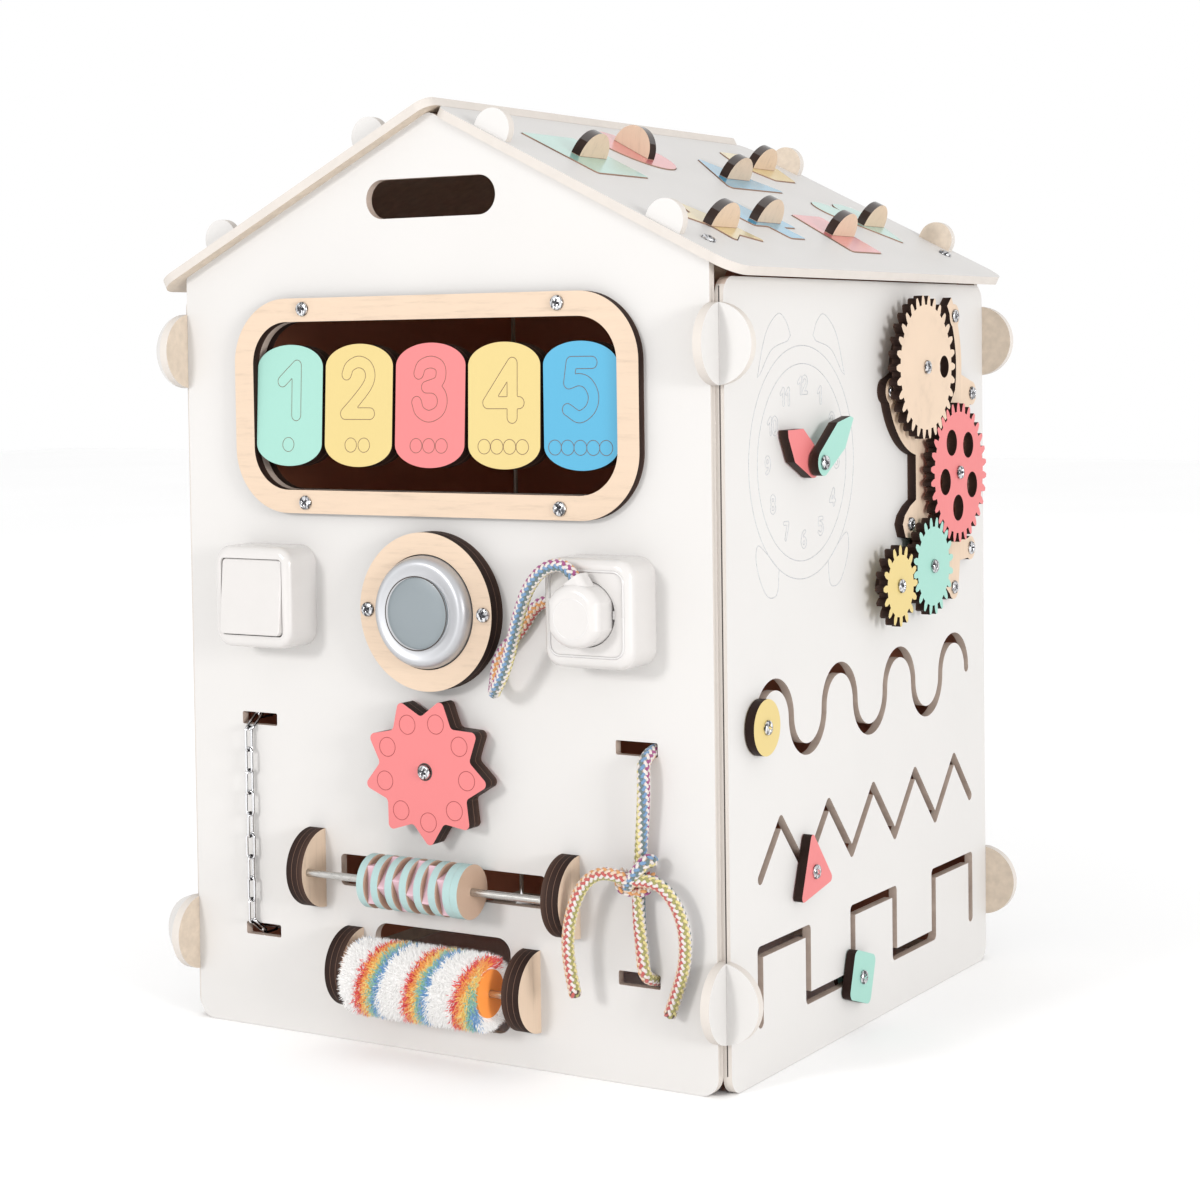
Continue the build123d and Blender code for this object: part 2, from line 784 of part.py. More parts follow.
def make_card(index):
    """Number card: straight sides, half-elliptic ends, a bore across it for the axle."""
    x = (index - (CARD_COUNT - 1) / 2) * CARD_PITCH
    half_w = CARD_W / 2
    half_s = CARD_STRAIGHT / 2
    cap = CARD_H / 2 - half_s
    body = Rectangle(CARD_W, CARD_STRAIGHT)
    body += Pos(0, half_s) * Ellipse(half_w, cap)
    body += Pos(0, -half_s) * Ellipse(half_w, cap)
    card = extrude(front_plane(AXLE_Y + DOUBLE_PLY / 2) * at(x, WINDOW_Z, body), DOUBLE_PLY)
    start = Plane(origin=(x - CARD_W, AXLE_Y, WINDOW_Z), x_dir=(0, 1, 0), z_dir=(1, 0, 0))
    card -= extrude(start * Circle(AXLE_D / 2 + RUNNING_FIT), 2 * CARD_W)
    return card.rotate(Axis((0, AXLE_Y, WINDOW_Z), (1, 0, 0)), -CARD_TILT[index])


# ---- switch ----
def rounded_box(x, z, width, height, radius, depth, edge):
    body = on_front(at(x, z, RectangleRounded(width, height, radius)), 0, depth)
    return fillet(body.edges().group_by(Axis.Y)[0], edge)


SWITCH_FACE = SWITCH_DEPTH
ROCKER_AXIS_Y = FRONT_Y - SWITCH_FACE + ROCKER_T / 2 - ROCKER_PROUD


def make_switch_base():
    body = rounded_box(SWITCH_X, SWITCH_Z, SWITCH_W, SWITCH_H, SWITCH_R, SWITCH_DEPTH, 5.0)
    well_size = ROCKER_SIZE + 2 * ROCKER_GAP
    well = RectangleRounded(well_size, well_size, 3.0)
    body -= on_front(at(SWITCH_X, SWITCH_Z, well), SWITCH_DEPTH - ROCKER_WELL, ROCKER_WELL + 1.0)
    pin = Plane(origin=(SWITCH_X - ROCKER_SIZE / 2 - 3.0, ROCKER_AXIS_Y, SWITCH_Z), z_dir=(1, 0, 0))
    body -= extrude(pin * Circle(1.5 + RUNNING_FIT), ROCKER_SIZE + 6.0)
    for place in base_screw_places[:2]:
        body -= screw_hole(place)
    return body


def make_switch_rocker():
    """Square rocker on two side pins, pressed in at its upper edge."""
    plate = RectangleRounded(ROCKER_SIZE, ROCKER_SIZE, 3.0)
    rocker = extrude(front_plane(ROCKER_AXIS_Y + ROCKER_T / 2) * at(SWITCH_X, SWITCH_Z, plate), ROCKER_T)
    rocker = fillet(rocker.edges().group_by(Axis.Y)[0], 1.0)
    length = ROCKER_SIZE + 5.0
    pin = Plane(origin=(SWITCH_X - length / 2, ROCKER_AXIS_Y, SWITCH_Z), z_dir=(1, 0, 0))
    rocker += extrude(pin * Circle(1.5), length)
    return rocker.rotate(Axis((SWITCH_X, ROCKER_AXIS_Y, SWITCH_Z), (1, 0, 0)), ROCKER_TILT)


# ---- push light ----
def make_lamp_ring():
    ring = on_front(at(0, LIGHT_Z, Circle(RING_OUTER_D / 2) - Circle(RING_INNER_D / 2)), 0, DOUBLE_PLY)
    for place in ring_screw_places:
        ring -= screw_hole(place, SCREW_L + FACE_PLY)
    return ring


def front_turned(profile):
    """Turned part about the light's axis: profile points are (radius, height in front of the wall)."""
    plane = Plane(origin=(0, FRONT_Y, LIGHT_Z), x_dir=(1, 0, 0), z_dir=(0, 0, 1))
    axis = Axis((0, FRONT_Y, LIGHT_Z), (0, -1, 0))
    return revolve(plane * scale(profile, by=(1, -1, 1)), axis, 360)


SKIRT_D = CUP_D - 2 * CUP_WALL - 0.8
CUP_FRONT = DOME_RIM - LIGHT_TRAVEL - 0.5


def make_push_light_base():
    """Cup behind the ring, with a flange on the wall's inner face and room for three cells."""
    inner = CUP_D / 2 - CUP_WALL
    back = -PLY - CUP_BACK
    flange_r = CUP_FLANGE_D / 2
    points = [
        (0, back),
        (CUP_D / 2, back),
        (CUP_D / 2, -PLY - CUP_FLANGE_T),
        (flange_r, -PLY - CUP_FLANGE_T),
        (flange_r, -PLY),
        (CUP_D / 2, -PLY),
        (CUP_D / 2, CUP_FRONT),
        (inner, CUP_FRONT),
        (inner, back + CUP_WALL),
        (0, back + CUP_WALL),
    ]
    cup = front_turned(make_face(Polyline(*points, close=True)))
    for place in ring_screw_places:
        cup -= screw_hole(place, SCREW_L + FACE_PLY)
    return cup


def make_push_light_cells():
    cells = []
    for k in (-1, 0, 1):
        y = FRONT_IN + CUP_BACK - CUP_WALL - CELL_D / 2
        base = Plane(origin=(k * CELL_D * 1.03, y, LIGHT_Z - CELL_L / 2), z_dir=(0, 0, 1))
        cells.append(extrude(base * Circle(CELL_D / 2), CELL_L))
    return cells


def make_push_light_dome():
    """Silver bezel that slides in the cup, open in the middle for the lens."""
    r_out = DOME_D / 2
    r_lens = LENS_D / 2
    r_skirt = SKIRT_D / 2
    seat = DOME_PROUD - LENS_T
    outer = [
        Line((r_skirt, -2.0), (r_skirt, DOME_RIM)),
        Line((r_skirt, DOME_RIM), (r_out, DOME_RIM)),
        Line((r_out, DOME_RIM), (r_out, DOUBLE_PLY - 1.0)),
        Spline((r_out, DOUBLE_PLY - 1.0), (31.5, 21.2), (r_lens, seat), tangents=[(0, 1), (-1, 0.12)]),
    ]
    inner = [
        Line((r_lens, seat), (r_lens - 2.0, seat)),
        Line((r_lens - 2.0, seat), (r_lens - 2.0, seat - 3.0)),
        Line((r_lens - 2.0, seat - 3.0), (r_skirt - 2.0, DOUBLE_PLY - 3.0)),
        Line((r_skirt - 2.0, DOUBLE_PLY - 3.0), (r_skirt - 2.0, -2.0)),
        Line((r_skirt - 2.0, -2.0), (r_skirt, -2.0)),
    ]
    return front_turned(make_face(outer + inner))


def make_push_light_lens():
    seat = DOME_PROUD - LENS_T
    rim = LENS_D / 2 - 0.4
    points = [
        Line((0, seat), (rim, seat)),
        Line((rim, seat), (rim, seat + 1.0)),
        Spline((rim, seat + 1.0), (0, DOME_PROUD), tangents=[(-1, 0.25), (-1, 0)]),
        Line((0, DOME_PROUD), (0, seat)),
    ]
    return front_turned(make_face(points))


# ---- plug and socket ----
def make_socket_body():
    body = rounded_box(SOCKET_X, SOCKET_Z, SOCKET_W, SOCKET_H, SOCKET_R, SOCKET_DEPTH, 6.0)
    recess = at(SOCKET_X, SOCKET_Z, Circle(RECESS_D / 2))
    body -= on_front(recess, SOCKET_DEPTH - RECESS_DEPTH, RECESS_DEPTH + 1.0)
    floor_out = SOCKET_DEPTH - RECESS_DEPTH
    for side in (-1, 1):
        x = SOCKET_X + side * PIN_PITCH / 2
        body -= front_pin(x, SOCKET_Z, floor_out + 1.0, PIN_L + 1.5, PIN_D + 2 * PIN_FIT)
    for place in base_screw_places[2:]:
        body -= screw_hole(place, SCREW_L - 5.0)
    return body


def make_socket_plug():
    """Plug with two flats, two pins and a slanting spout on top that the rope comes out of."""
    floor_out = SOCKET_DEPTH - RECESS_DEPTH
    body = front_pin(SOCKET_X, SOCKET_Z, PLUG_PROUD, PLUG_PROUD - floor_out - 0.3, PLUG_D)
    flats = at(SOCKET_X, SOCKET_Z, Rectangle(PLUG_FLATS, 2 * PLUG_D))
    body = body & on_front(flats, 0, 2 * PLUG_PROUD)
    body = fillet(body.edges().group_by(Axis.Y)[0], PLUG_ROUND)
    lean = radians(SPOUT_LEAN)
    foot_x = SOCKET_X + SPOUT_END[0] + SPOUT_L * sin(lean)
    foot_z = SOCKET_Z + SPOUT_END[1] - SPOUT_L * cos(lean)
    foot = (foot_x, FRONT_Y - SPOUT_AT, foot_z)
    spout = Plane(origin=foot, x_dir=(0, 1, 0), z_dir=(-sin(lean), 0, cos(lean)))
    body += extrude(spout * RectangleRounded(SPOUT_W, SPOUT_W, 4.0), SPOUT_L)
    for side in (-1, 1):
        x = SOCKET_X + side * PIN_PITCH / 2
        body += front_pin(x, SOCKET_Z, floor_out + 2.0, PIN_L + 2.0, PIN_D)
    return body


# ---- star wheel ----
def make_star_wheel():
    points = []
    for k in range(2 * STAR_TIPS):
        r = STAR_R if k % 2 == 0 else STAR_VALLEY_R
        a = radians(STAR_FIRST + 180.0 * k / STAR_TIPS)
        points.append((r * cos(a), STAR_Z + r * sin(a)))
    sketch = outline(points, STAR_ROUND) - at(0, STAR_Z, Circle(BOLT_SHANK_D / 2 + RUNNING_FIT))
    return on_front(sketch, STAR_STANDOFF, DOUBLE_PLY)


# ---- rollers ----
def make_bracket(x, z):
    """Half-round cheek, two boards thick, whose flat side stands on the wall."""
    half = Circle(BRACKET_R) & Pos(-BRACKET_R / 2, 0) * Rectangle(BRACKET_R, 2 * BRACKET_R)
    start = Plane(origin=(x - DOUBLE_PLY / 2, FRONT_Y, z), x_dir=(0, 1, 0), z_dir=(1, 0, 0))
    cheek = extrude(start * half, DOUBLE_PLY)
    inward = 1 if x < 0 else -1
    hole = start.offset(FACE_PLY) * at(-ROD_OUT, 0, Circle(ROD_D / 2 + RUNNING_FIT))
    cheek -= extrude(hole, inward * (FACE_PLY + 1.0))
    for place in bracket_screw_places:
        cheek -= screw_hole(place)
    return cheek


def make_brackets(x, z):
    return [make_bracket(-x, z), make_bracket(x, z)]


def make_rod(bracket_x, z):
    length = 2 * bracket_x - 0.2
    start = Plane(origin=(-length / 2, FRONT_Y - ROD_OUT, z), x_dir=(0, 1, 0), z_dir=(1, 0, 0))
    return extrude(start * Circle(ROD_D / 2), length)


def on_rod(sketch, start_x, z, thick):
    plane = Plane(origin=(start_x, FRONT_Y - ROD_OUT, z), x_dir=(0, -1, 0), z_dir=(-1, 0, 0))
    return extrude(plane * sketch, -thick)


def bored(sketch):
    return sketch - Circle(ROD_D / 2 + RUNNING_FIT)


DISC_STEP = DISC_T + DISC_SPACE


def make_round_discs():
    """Discs that sit between the squares, and one more beyond the last square."""
    discs = []
    for k in range(DISC_COUNT):
        discs.append(on_rod(bored(Circle(DISC_D / 2)), DISC_START + 2 * k * DISC_STEP, SPINNER_Z, DISC_T))
    start = DISC_START + (2 * DISC_COUNT - 1) * DISC_STEP
    discs.append(on_rod(bored(Circle(DISC_D / 2)), start, SPINNER_Z, DISC_T))
    return discs


def make_square_discs():
    side = DISC_D / sqrt(2)
    squares = []
    for k in range(DISC_COUNT - 1):
        blank = fillet(Rectangle(side, side).vertices(), 0.6)
        square = bored(Rot(0, 0, 45.0 + SQUARE_VERTEX[k]) * blank)
        squares.append(on_rod(square, DISC_START + (2 * k + 1) * DISC_STEP, SPINNER_Z, DISC_T))
    return squares


def make_roller_core():
    """Turned core with a thin round cap at each end, just wider than the core."""
    half = FLEECE_L / 2
    core = on_rod(bored(Circle(CORE_D / 2)), -half - CAP_T, ROLLER_Z, FLEECE_L + 2 * CAP_T)
    return core


def make_roller_fleece():
    sleeve = on_rod(Circle(FLEECE_D / 2) - Circle(CORE_D / 2), -FLEECE_L / 2, ROLLER_Z, FLEECE_L)
    return sleeve


# ---- chain ----
def make_link(centre, turn_x, turn_z):
    """Oval link of round wire, long along its own Z, turned about Z first and then about X."""
    r_bend = (LINK_W - LINK_WIRE) / 2
    half = LINK_L / 2 - LINK_W / 2
    path = Wire([
        Edge.make_line((r_bend, 0, -half), (r_bend, 0, half)),
        Edge.make_three_point_arc((r_bend, 0, half), (0, 0, half + r_bend), (-r_bend, 0, half)),
        Edge.make_line((-r_bend, 0, half), (-r_bend, 0, -half)),
        Edge.make_three_point_arc((-r_bend, 0, -half), (0, 0, -half - r_bend), (r_bend, 0, -half)),
    ])
    section = Plane(origin=(r_bend, 0, -half), z_dir=(0, 0, 1)) * Circle(LINK_WIRE / 2)
    link = sweep(section, path)
    return Pos(*centre) * Rot(turn_x, 0, 0) * Rot(0, 0, turn_z) * link


def make_chain_end(x, middle_z, up):
    """Link that leans into a slot, a second one inside the house, and the pin that keeps it there."""
    reach = LINK_L / 2 - LINK_WIRE / 2
    nested = LINK_WIRE + LINK_PLAY
    last_z = middle_z + up * (LINK_PITCH * (len(LINK_TWIST) - 1) / 2)
    lean = radians(LINK_LEAN)
    front = (FRONT_Y - LINK_OUT, last_z + up * (reach - nested))
    centre = (front[0] + reach * cos(lean), front[1] + up * reach * sin(lean))
    back = (centre[0] + (reach - nested) * cos(lean), centre[1] + up * (reach - nested) * sin(lean))
    leaning = make_link((x, centre[0], centre[1]), LINK_LEAN - 90.0 if up > 0 else -90.0 - LINK_LEAN, 0)
    inner = make_link((x, back[0] + reach, back[1]), -90.0, 90.0)
    pin_y = back[0] + 2 * reach - LINK_WIRE / 2 - KEEPER_D / 2 - LINK_PLAY
    start = Plane(origin=(x - KEEPER_L / 2, pin_y, back[1]), z_dir=(1, 0, 0))
    return [leaning, inner, extrude(start * Circle(KEEPER_D / 2), KEEPER_L)]


def make_chain():
    """Links down the front of the wall, held at both slots by links and pins inside the house."""
    x = CHAIN_X + CHAIN_SIDE
    middle_z = (SLOT_Z[0] + SLOT_Z[1]) / 2
    top_z = middle_z + LINK_PITCH * (len(LINK_TWIST) - 1) / 2
    links = []
    for k, twist in enumerate(LINK_TWIST):
        links.append(make_link((x, FRONT_Y - LINK_OUT, top_z - k * LINK_PITCH), 0, twist))
    return links + make_chain_end(x, middle_z, 1) + make_chain_end(x, middle_z, -1)


# ---- ropes ----
PULL_ROUTE = (
    (10.15, 17.0, 210.4),
    (10.15, -9.8, 210.4),
    (10.95, -10.5, 187.0),
    (8.55, -9.2, 161.0),
    (5.55, -8.2, 135.0),
    (4.75, -8.4, 110.0),
    (7.55, -9.6, 88.0),
    (9.95, -9.8, 66.5),
    (9.95, 17.0, 66.5),
)
LEFT_ROUTE = (
    (3.05, -18.0, 132.5),
    (-9.45, -19.5, 137.0),
    (-23.95, -20.5, 132.0),
    (-33.45, -22.0, 116.0),
    (-37.65, -23.4, 96.0),
    (-37.25, -22.5, 76.0),
    (-33.95, -20.5, 57.5),
)
RIGHT_ROUTE = (
    (7.05, -18.0, 132.5),
    (20.55, -17.0, 134.5),
    (32.55, -14.0, 123.5),
    (38.85, -11.5, 106.0),
    (38.55, -9.6, 86.0),
    (33.05, -8.6, 67.5),
    (26.05, -8.4, 49.5),
)
SOCKET_ROUTE = (
    (-2.5, -38.0, 318.0),
    (-8.2, -38.0, 326.45),
    (-22.8, -38.6, 325.6),
    (-35.5, -38.0, 313.4),
    (-44.0, -35.5, 297.6),
    (-51.4, -31.5, 281.0),
    (-58.6, -27.5, 265.5),
    (-65.4, -25.0, 252.8),
    (-71.4, -23.4, 245.0),
    (-78.2, -14.6, 240.8),
    (-83.0, -5.4, 247.6),
    (-81.8, -5.0, 258.6),
    (-76.2, -5.0, 268.4),
    (-67.4, -5.0, 276.8),
    (-59.8, -5.0, 285.6),
    (-53.4, -5.0, 295.4),
    (-44.4, -5.0, 300.6),
    (-SOCKET_W / 2, -5.0, 300.6),
)


def rope_tube(name, route, anchor_x, diameter):
    """Straight runs joined by tangent arcs; x is taken from the anchor, y from the front face."""
    points = [Vector(anchor_x + x, FRONT_Y + y, z) for x, y, z in route]
    radii = []
    for a, b, c in zip(points, points[1:], points[2:]):
        run = min((b - a).length, (c - b).length)
        turn = radians((b - a).get_angle(c - b))
        radii.append(0.45 * run / tan(turn / 2))
    path = FilletPolyline(*points, radius=radii)
    start = Plane(origin=points[0], z_dir=points[1] - points[0])
    tube = sweep(start * Circle(diameter / 2), path)
    expected = pi * diameter**2 / 4 * path.length
    print(name, "length", round(path.length, 1), "radii", [round(r, 1) for r in radii])
    print(name, "volume", round(tube.volume, 1), "section x length", round(expected, 1))
    return tube


def make_rope_knots():
    """Centre knot on the pull rope and a stopper knot behind each slot."""
    knots = [Pos(ROPE_X + 5.05, FRONT_Y - 13.2, 132.6) * Sphere(9.6)]
    for x, z in ((PULL_ROUTE[0][0], PULL_ROUTE[0][2]), (PULL_ROUTE[-1][0], PULL_ROUTE[-1][2])):
        knots.append(Pos(ROPE_X + x, FRONT_Y + PULL_ROUTE[0][1] + 3.0, z) * Sphere(8.5))
    return knots


# ---- gear train ----
def gear_pitch_r(index):
    return GEAR_MODULE * GEAR_TEETH[index] / 2


def gear_centres():
    centres = [GEAR_START]
    for k, heading in enumerate(GEAR_HEADING):
        step = gear_pitch_r(k) + gear_pitch_r(k + 1)
        y = centres[-1][0] + step * cos(radians(heading))
        z = centres[-1][1] + step * sin(radians(heading))
        centres.append((y, z))
    return centres


def gear_phases():
    """Angle of one tooth's middle on each gear, so that neighbours mesh at rest."""
    phases = [0.0]
    for k, heading in enumerate(GEAR_HEADING):
        pitch_a = 360.0 / GEAR_TEETH[k]
        pitch_b = 360.0 / GEAR_TEETH[k + 1]
        lead = (phases[-1] - heading) % pitch_a
        phases.append(heading + 180.0 - lead * pitch_b / pitch_a - pitch_b / 2)
    return phases


def involute_half_angle(teeth, radius):
    """Half of a tooth's angle at a radius, for a 20 degree tooth with backlash."""
    pitch_r = GEAR_MODULE * teeth / 2
    base_r = pitch_r * cos(radians(20))
    half = (pi * GEAR_MODULE / 4 - GEAR_BACKLASH / 2) / pitch_r

    def involute(r):
        angle = acos(base_r / max(r, base_r))
        return tan(angle) - angle

    return half + involute(pitch_r) - involute(radius)


def gear_sketch(teeth, phase):
    """Spur gear outline about its own centre: root arc, two flank facets and tip to each side."""
    pitch_r = GEAR_MODULE * teeth / 2
    outer = pitch_r + GEAR_ADDENDUM * GEAR_MODULE
    root = pitch_r - GEAR_DEDENDUM * GEAR_MODULE
    base = max(pitch_r * cos(radians(20)), root + 0.4)
    radii = (root, base, (base + pitch_r) / 2, pitch_r, (pitch_r + outer) / 2, outer)
    points = []
    for k in range(teeth):
        middle = radians(phase + 360.0 * k / teeth)
        for r in radii:
            points.append((r, middle - involute_half_angle(teeth, r)))
        for r in reversed(radii):
            points.append((r, middle + involute_half_angle(teeth, r)))
    return make_face(Polyline(*[(r * cos(a), r * sin(a)) for r, a in points], close=True))


def make_gear(index):
    y, z = gear_centres()[index]
    sketch = gear_sketch(GEAR_TEETH[index], gear_phases()[index])
    sketch -= Circle(BOLT_SHANK_D / 2 + RUNNING_FIT)
    if index == 0:
        sketch -= Pos(FINGER_R, 0) * Circle(FINGER_D / 2)
    if index == 1:
        for k in range(CORAL_HOLES):
            a = radians(CORAL_HOLE_FIRST + 360.0 * k / CORAL_HOLES)
            sketch -= Pos(CORAL_HOLE_R * cos(a), CORAL_HOLE_R * sin(a)) * Circle(CORAL_HOLE_D / 2)
    return on_side(at(y, z, sketch), FACE_PLY + GEAR_WASHER, FACE_PLY)


def guard_arc(centre, start, end):
    """Curved arm of the carrier around the first gear, from one angle to another."""
    ring = Circle(GUARD_R + GUARD_W) - Circle(GUARD_R)
    reach = 2 * GUARD_R
    fan = [(0, 0)]
    for k in range(5):
        a = radians(start + (end - start) * k / 4)
        fan.append((reach * cos(a), reach * sin(a)))
    return at(centre[0], centre[1], ring & outline(fan))


def make_gear_carrier():
    """Board behind the gears, with a lug at each screw."""
    first, second, third, fourth = gear_centres()
    plate = at(first[0], first[1], Circle(CARRIER_HUB_R))
    plate += at(second[0], second[1], Circle(gear_pitch_r(1) + CARRIER_RIM))
    plate += stadium(second, third, CARRIER_ARMS[0])
    plate += stadium(third, fourth, CARRIER_ARMS[1])
    plate += guard_arc(GUARD_CENTRE, -17.0, 39.0)
    left = Line(CARRIER_LEFT[0], CARRIER_LEFT[1]) + ThreePointArc(*CARRIER_LEFT[1:])
    left += Polyline(*CARRIER_BELT)
    plate += make_face(left)
    plate += outline(CARRIER_NECK)
    plate += outline(CARRIER_FOOT)
    for y, z in CARRIER_SCREWS:
        plate += at(y, z, Circle(LUG_R))
    for y, z in gear_centres():
        plate -= at(y, z, Circle(BOLT_SHANK_D / 2 + RUNNING_FIT))
    board = on_side(plate, 0, FACE_PLY)
    for place in carrier_screw_places:
        board -= screw_hole(place)
    return board


# ---- clock hands ----
def hand_sketch(length, width, shoulder, angle):
    """Straight-edged hand about its pivot, widest at its shoulders, pointing along the angle."""
    r = width / 2
    along, half = shoulder
    cut, slant = HAND_TIP
    edge = [
        ThreePointArc((0, -r), (-r, 0), (0, r)),
        Line((0, r), (along, half)),
        Line((along, half), (length - cut, slant)),
        Line((length - cut, slant), (length, -slant / 3)),
        Line((length, -slant / 3), (along, -half)),
        Line((along, -half), (0, -r)),
    ]
    hand = make_face(edge) - Circle(BOLT_SHANK_D / 2 + RUNNING_FIT)
    return at(CLOCK_AT[0], CLOCK_AT[1], hand, angle)


HOUR_OUT = HAND_WASHER
MINUTE_OUT = HOUR_OUT + FACE_PLY + HAND_WASHER


def make_hour_hand():
    return on_side(hand_sketch(HOUR_L, HOUR_W, HOUR_SHOULDER, HOUR_ANGLE), HOUR_OUT, FACE_PLY)


def make_minute_hand():
    return on_side(hand_sketch(MINUTE_L, MINUTE_W, MINUTE_SHOULDER, MINUTE_ANGLE), MINUTE_OUT, FACE_PLY)


# ---- pivot bolts, nuts and washers ----
def side_bolt(y, z, out):
    """Bolt along X: its head stands `out` from the wall's face and its nut lies inside."""
    head = side_plane(RIGHT_X + out).location * Pos(y, z, 0) * domed_head(BOLT_HEAD_D, BOLT_HEAD_H)
    return head + side_pin(y, z, out, out + PLY + BOLT_END, BOLT_SHANK_D)


def ring_sketch(outer_d, inner_d):
    return Circle(outer_d / 2) - Circle(inner_d / 2)


GEAR_FACE = 2 * FACE_PLY + GEAR_WASHER
CLOCK_FACE = MINUTE_OUT + FACE_PLY
STAR_FACE = STAR_STANDOFF + DOUBLE_PLY
HEAD_AIR = 0.2


def make_pivot_bolts():
    bolts = []
    for y, z in gear_centres():
        bolts.append(side_bolt(y, z, GEAR_FACE + HEAD_AIR))
    bolts.append(side_bolt(CLOCK_AT[0], CLOCK_AT[1], CLOCK_FACE + HEAD_AIR))
    out = STAR_FACE + HEAD_AIR
    head = front_plane(FRONT_Y - out).location * Pos(0, STAR_Z, 0) * domed_head(BOLT_HEAD_D, BOLT_HEAD_H)
    bolts.append(head + front_pin(0, STAR_Z, out, out + PLY + BOLT_END, BOLT_SHANK_D))
    return bolts


def make_nuts_and_washers():
    inner = BOLT_SHANK_D + 2 * RUNNING_FIT
    nut = RegularPolygon(NUT_D / 2, 6, major_radius=False) - Circle(inner / 2)
    washer = ring_sketch(WASHER_D, inner)
    rings = []
    for y, z in gear_centres():
        rings.append(extrude(side_plane(RIGHT_IN - NUT_H) * at(y, z, nut), NUT_H))
        rings.append(on_side(at(y, z, washer), FACE_PLY, GEAR_WASHER - HEAD_AIR))
    y, z = CLOCK_AT
    rings.append(extrude(side_plane(RIGHT_IN - NUT_H) * at(y, z, nut), NUT_H))
    rings.append(on_side(at(y, z, washer), 0, HAND_WASHER - HEAD_AIR))
    rings.append(on_side(at(y, z, washer), HOUR_OUT + FACE_PLY + HEAD_AIR, HAND_WASHER - 2 * HEAD_AIR))
    rings.append(extrude(front_plane(FRONT_IN + NUT_H) * at(0, STAR_Z, nut), NUT_H))
    rings.append(on_front(at(0, STAR_Z, washer), 0, STAR_STANDOFF - HEAD_AIR))
    return rings


# ---- sliders ----
def slider(sketch, y, z, pin_d):
    """Plate outside the wall, on a pin through the track with a disc behind the wall."""
    plate = on_side(at(y, z, sketch - Circle(pin_d / 2)), SLIDER_AIR, SLIDER_T)
    out = SLIDER_AIR + SLIDER_T
    back_out = -PLY - SLIDER_AIR
    pin = side_pin(y, z, out, out - back_out + SLIDER_BACK_T, pin_d)
    head = side_plane(RIGHT_X + out).location * Pos(y, z, 0) * domed_head(SLIDER_HEAD_D, SLIDER_HEAD_H)
    back = on_side(at(y, z, ring_sketch(SLIDER_BACK_D, pin_d)), back_out - SLIDER_BACK_T, SLIDER_BACK_T)
    return [plate, pin + head, back]


def make_slider_round():
    y, z = wave_points()[0]
    return slider(Circle(ROUND_SLIDER_D / 2), y, z, SLIDER_PIN_D)


def make_slider_triangle():
    y, z = zigzag_points()[2]
    sketch = fillet(RegularPolygon(TRIANGLE_R, 3).vertices(), TRIANGLE_ROUND)
    return slider(Rot(0, 0, 90.0 + TRIANGLE_TURN) * sketch, y, z, SLIDER_PIN_D)


def make_slider_square():
    y, z = STEP_START + 2 * STEP_W, STEP_LOW
    sketch = Rot(0, 0, SQUARE_TURN) * RectangleRounded(SQUARE_SLIDER, SQUARE_SLIDER, 5.0)
    return slider(sketch, y, z, SLIDER_PIN_D)


# ---- write every node ----
save("front_wall", make_front_wall())
save("back_wall", make_back_wall())
save("left_wall", make_left_wall())
save("right_wall", make_right_wall())
save("roof_right", make_roof_right())
save("roof_left", make_roof_left())
save_group("roof_cleats", make_roof_cleats())

save("window_frame", make_window_frame())
save("window_back_frame", make_window_back_frame())
save("card_axle", make_card_axle())
for index in range(CARD_COUNT):
    save(f"card_{index + 1}", make_card(index))

save("switch_base", make_switch_base())
save("switch_rocker", make_switch_rocker())
save("lamp_ring", make_lamp_ring())
save("push_light_base", make_push_light_base())
save("push_light_dome", make_push_light_dome())
save("push_light_lens", make_push_light_lens())
save_group("push_light_cells", make_push_light_cells())
save("socket_body", make_socket_body())
save("socket_plug", make_socket_plug())

save("star_wheel", make_star_wheel())
save_group("spinner_brackets", make_brackets(SPINNER_BRACKET_X, SPINNER_Z))
save("spinner_rod", make_rod(SPINNER_BRACKET_X, SPINNER_Z))
save_group("spinner_round_discs", make_round_discs())
save_group("spinner_square_discs", make_square_discs())
save_group("roller_brackets", make_brackets(ROLLER_BRACKET_X, ROLLER_Z))
save("roller_rod", make_rod(ROLLER_BRACKET_X, ROLLER_Z))
save("roller_core", make_roller_core())
save("roller_fleece", make_roller_fleece())

save_group("chain", make_chain())
save("pull_rope", rope_tube("pull_rope", PULL_ROUTE, ROPE_X, ROPE_D))
save("tie_rope_left", rope_tube("tie_rope_left", LEFT_ROUTE, ROPE_X, ROPE_D))
save("tie_rope_right", rope_tube("tie_rope_right", RIGHT_ROUTE, ROPE_X, ROPE_D))
save_group("rope_knots", make_rope_knots())
save("socket_rope", rope_tube("socket_rope", SOCKET_ROUTE, SOCKET_X, ROPE_D))

save("gear_carrier", make_gear_carrier())
for index, name in enumerate(("gear_birch", "gear_coral", "gear_mint", "gear_yellow")):
    save(name, make_gear(index))
save("hour_hand", make_hour_hand())
save("minute_hand", make_minute_hand())
save_group("pivot_bolts", make_pivot_bolts())
save_group("nuts_and_washers", make_nuts_and_washers())
save_group("slider_round", make_slider_round())
save_group("slider_triangle", make_slider_triangle())
save_group("slider_square", make_slider_square())

for name, shape in sorter_shapes().items():
    save_group(name, make_sorter(name, shape))

screws = []
for place in window_screw_places + ring_screw_places:
    screws.append(screw(place, SCREW_L + FACE_PLY))
for place in carrier_screw_places + base_screw_places[:2] + bracket_screw_places + roof_screw_places:
    screws.append(screw(place))
for place in base_screw_places[2:]:
    screws.append(screw(place, SCREW_L - 5.0))
for place in roof_screw_places:
    screws.append(mirrored(screw(place)))
save_group("panel_screws", screws)
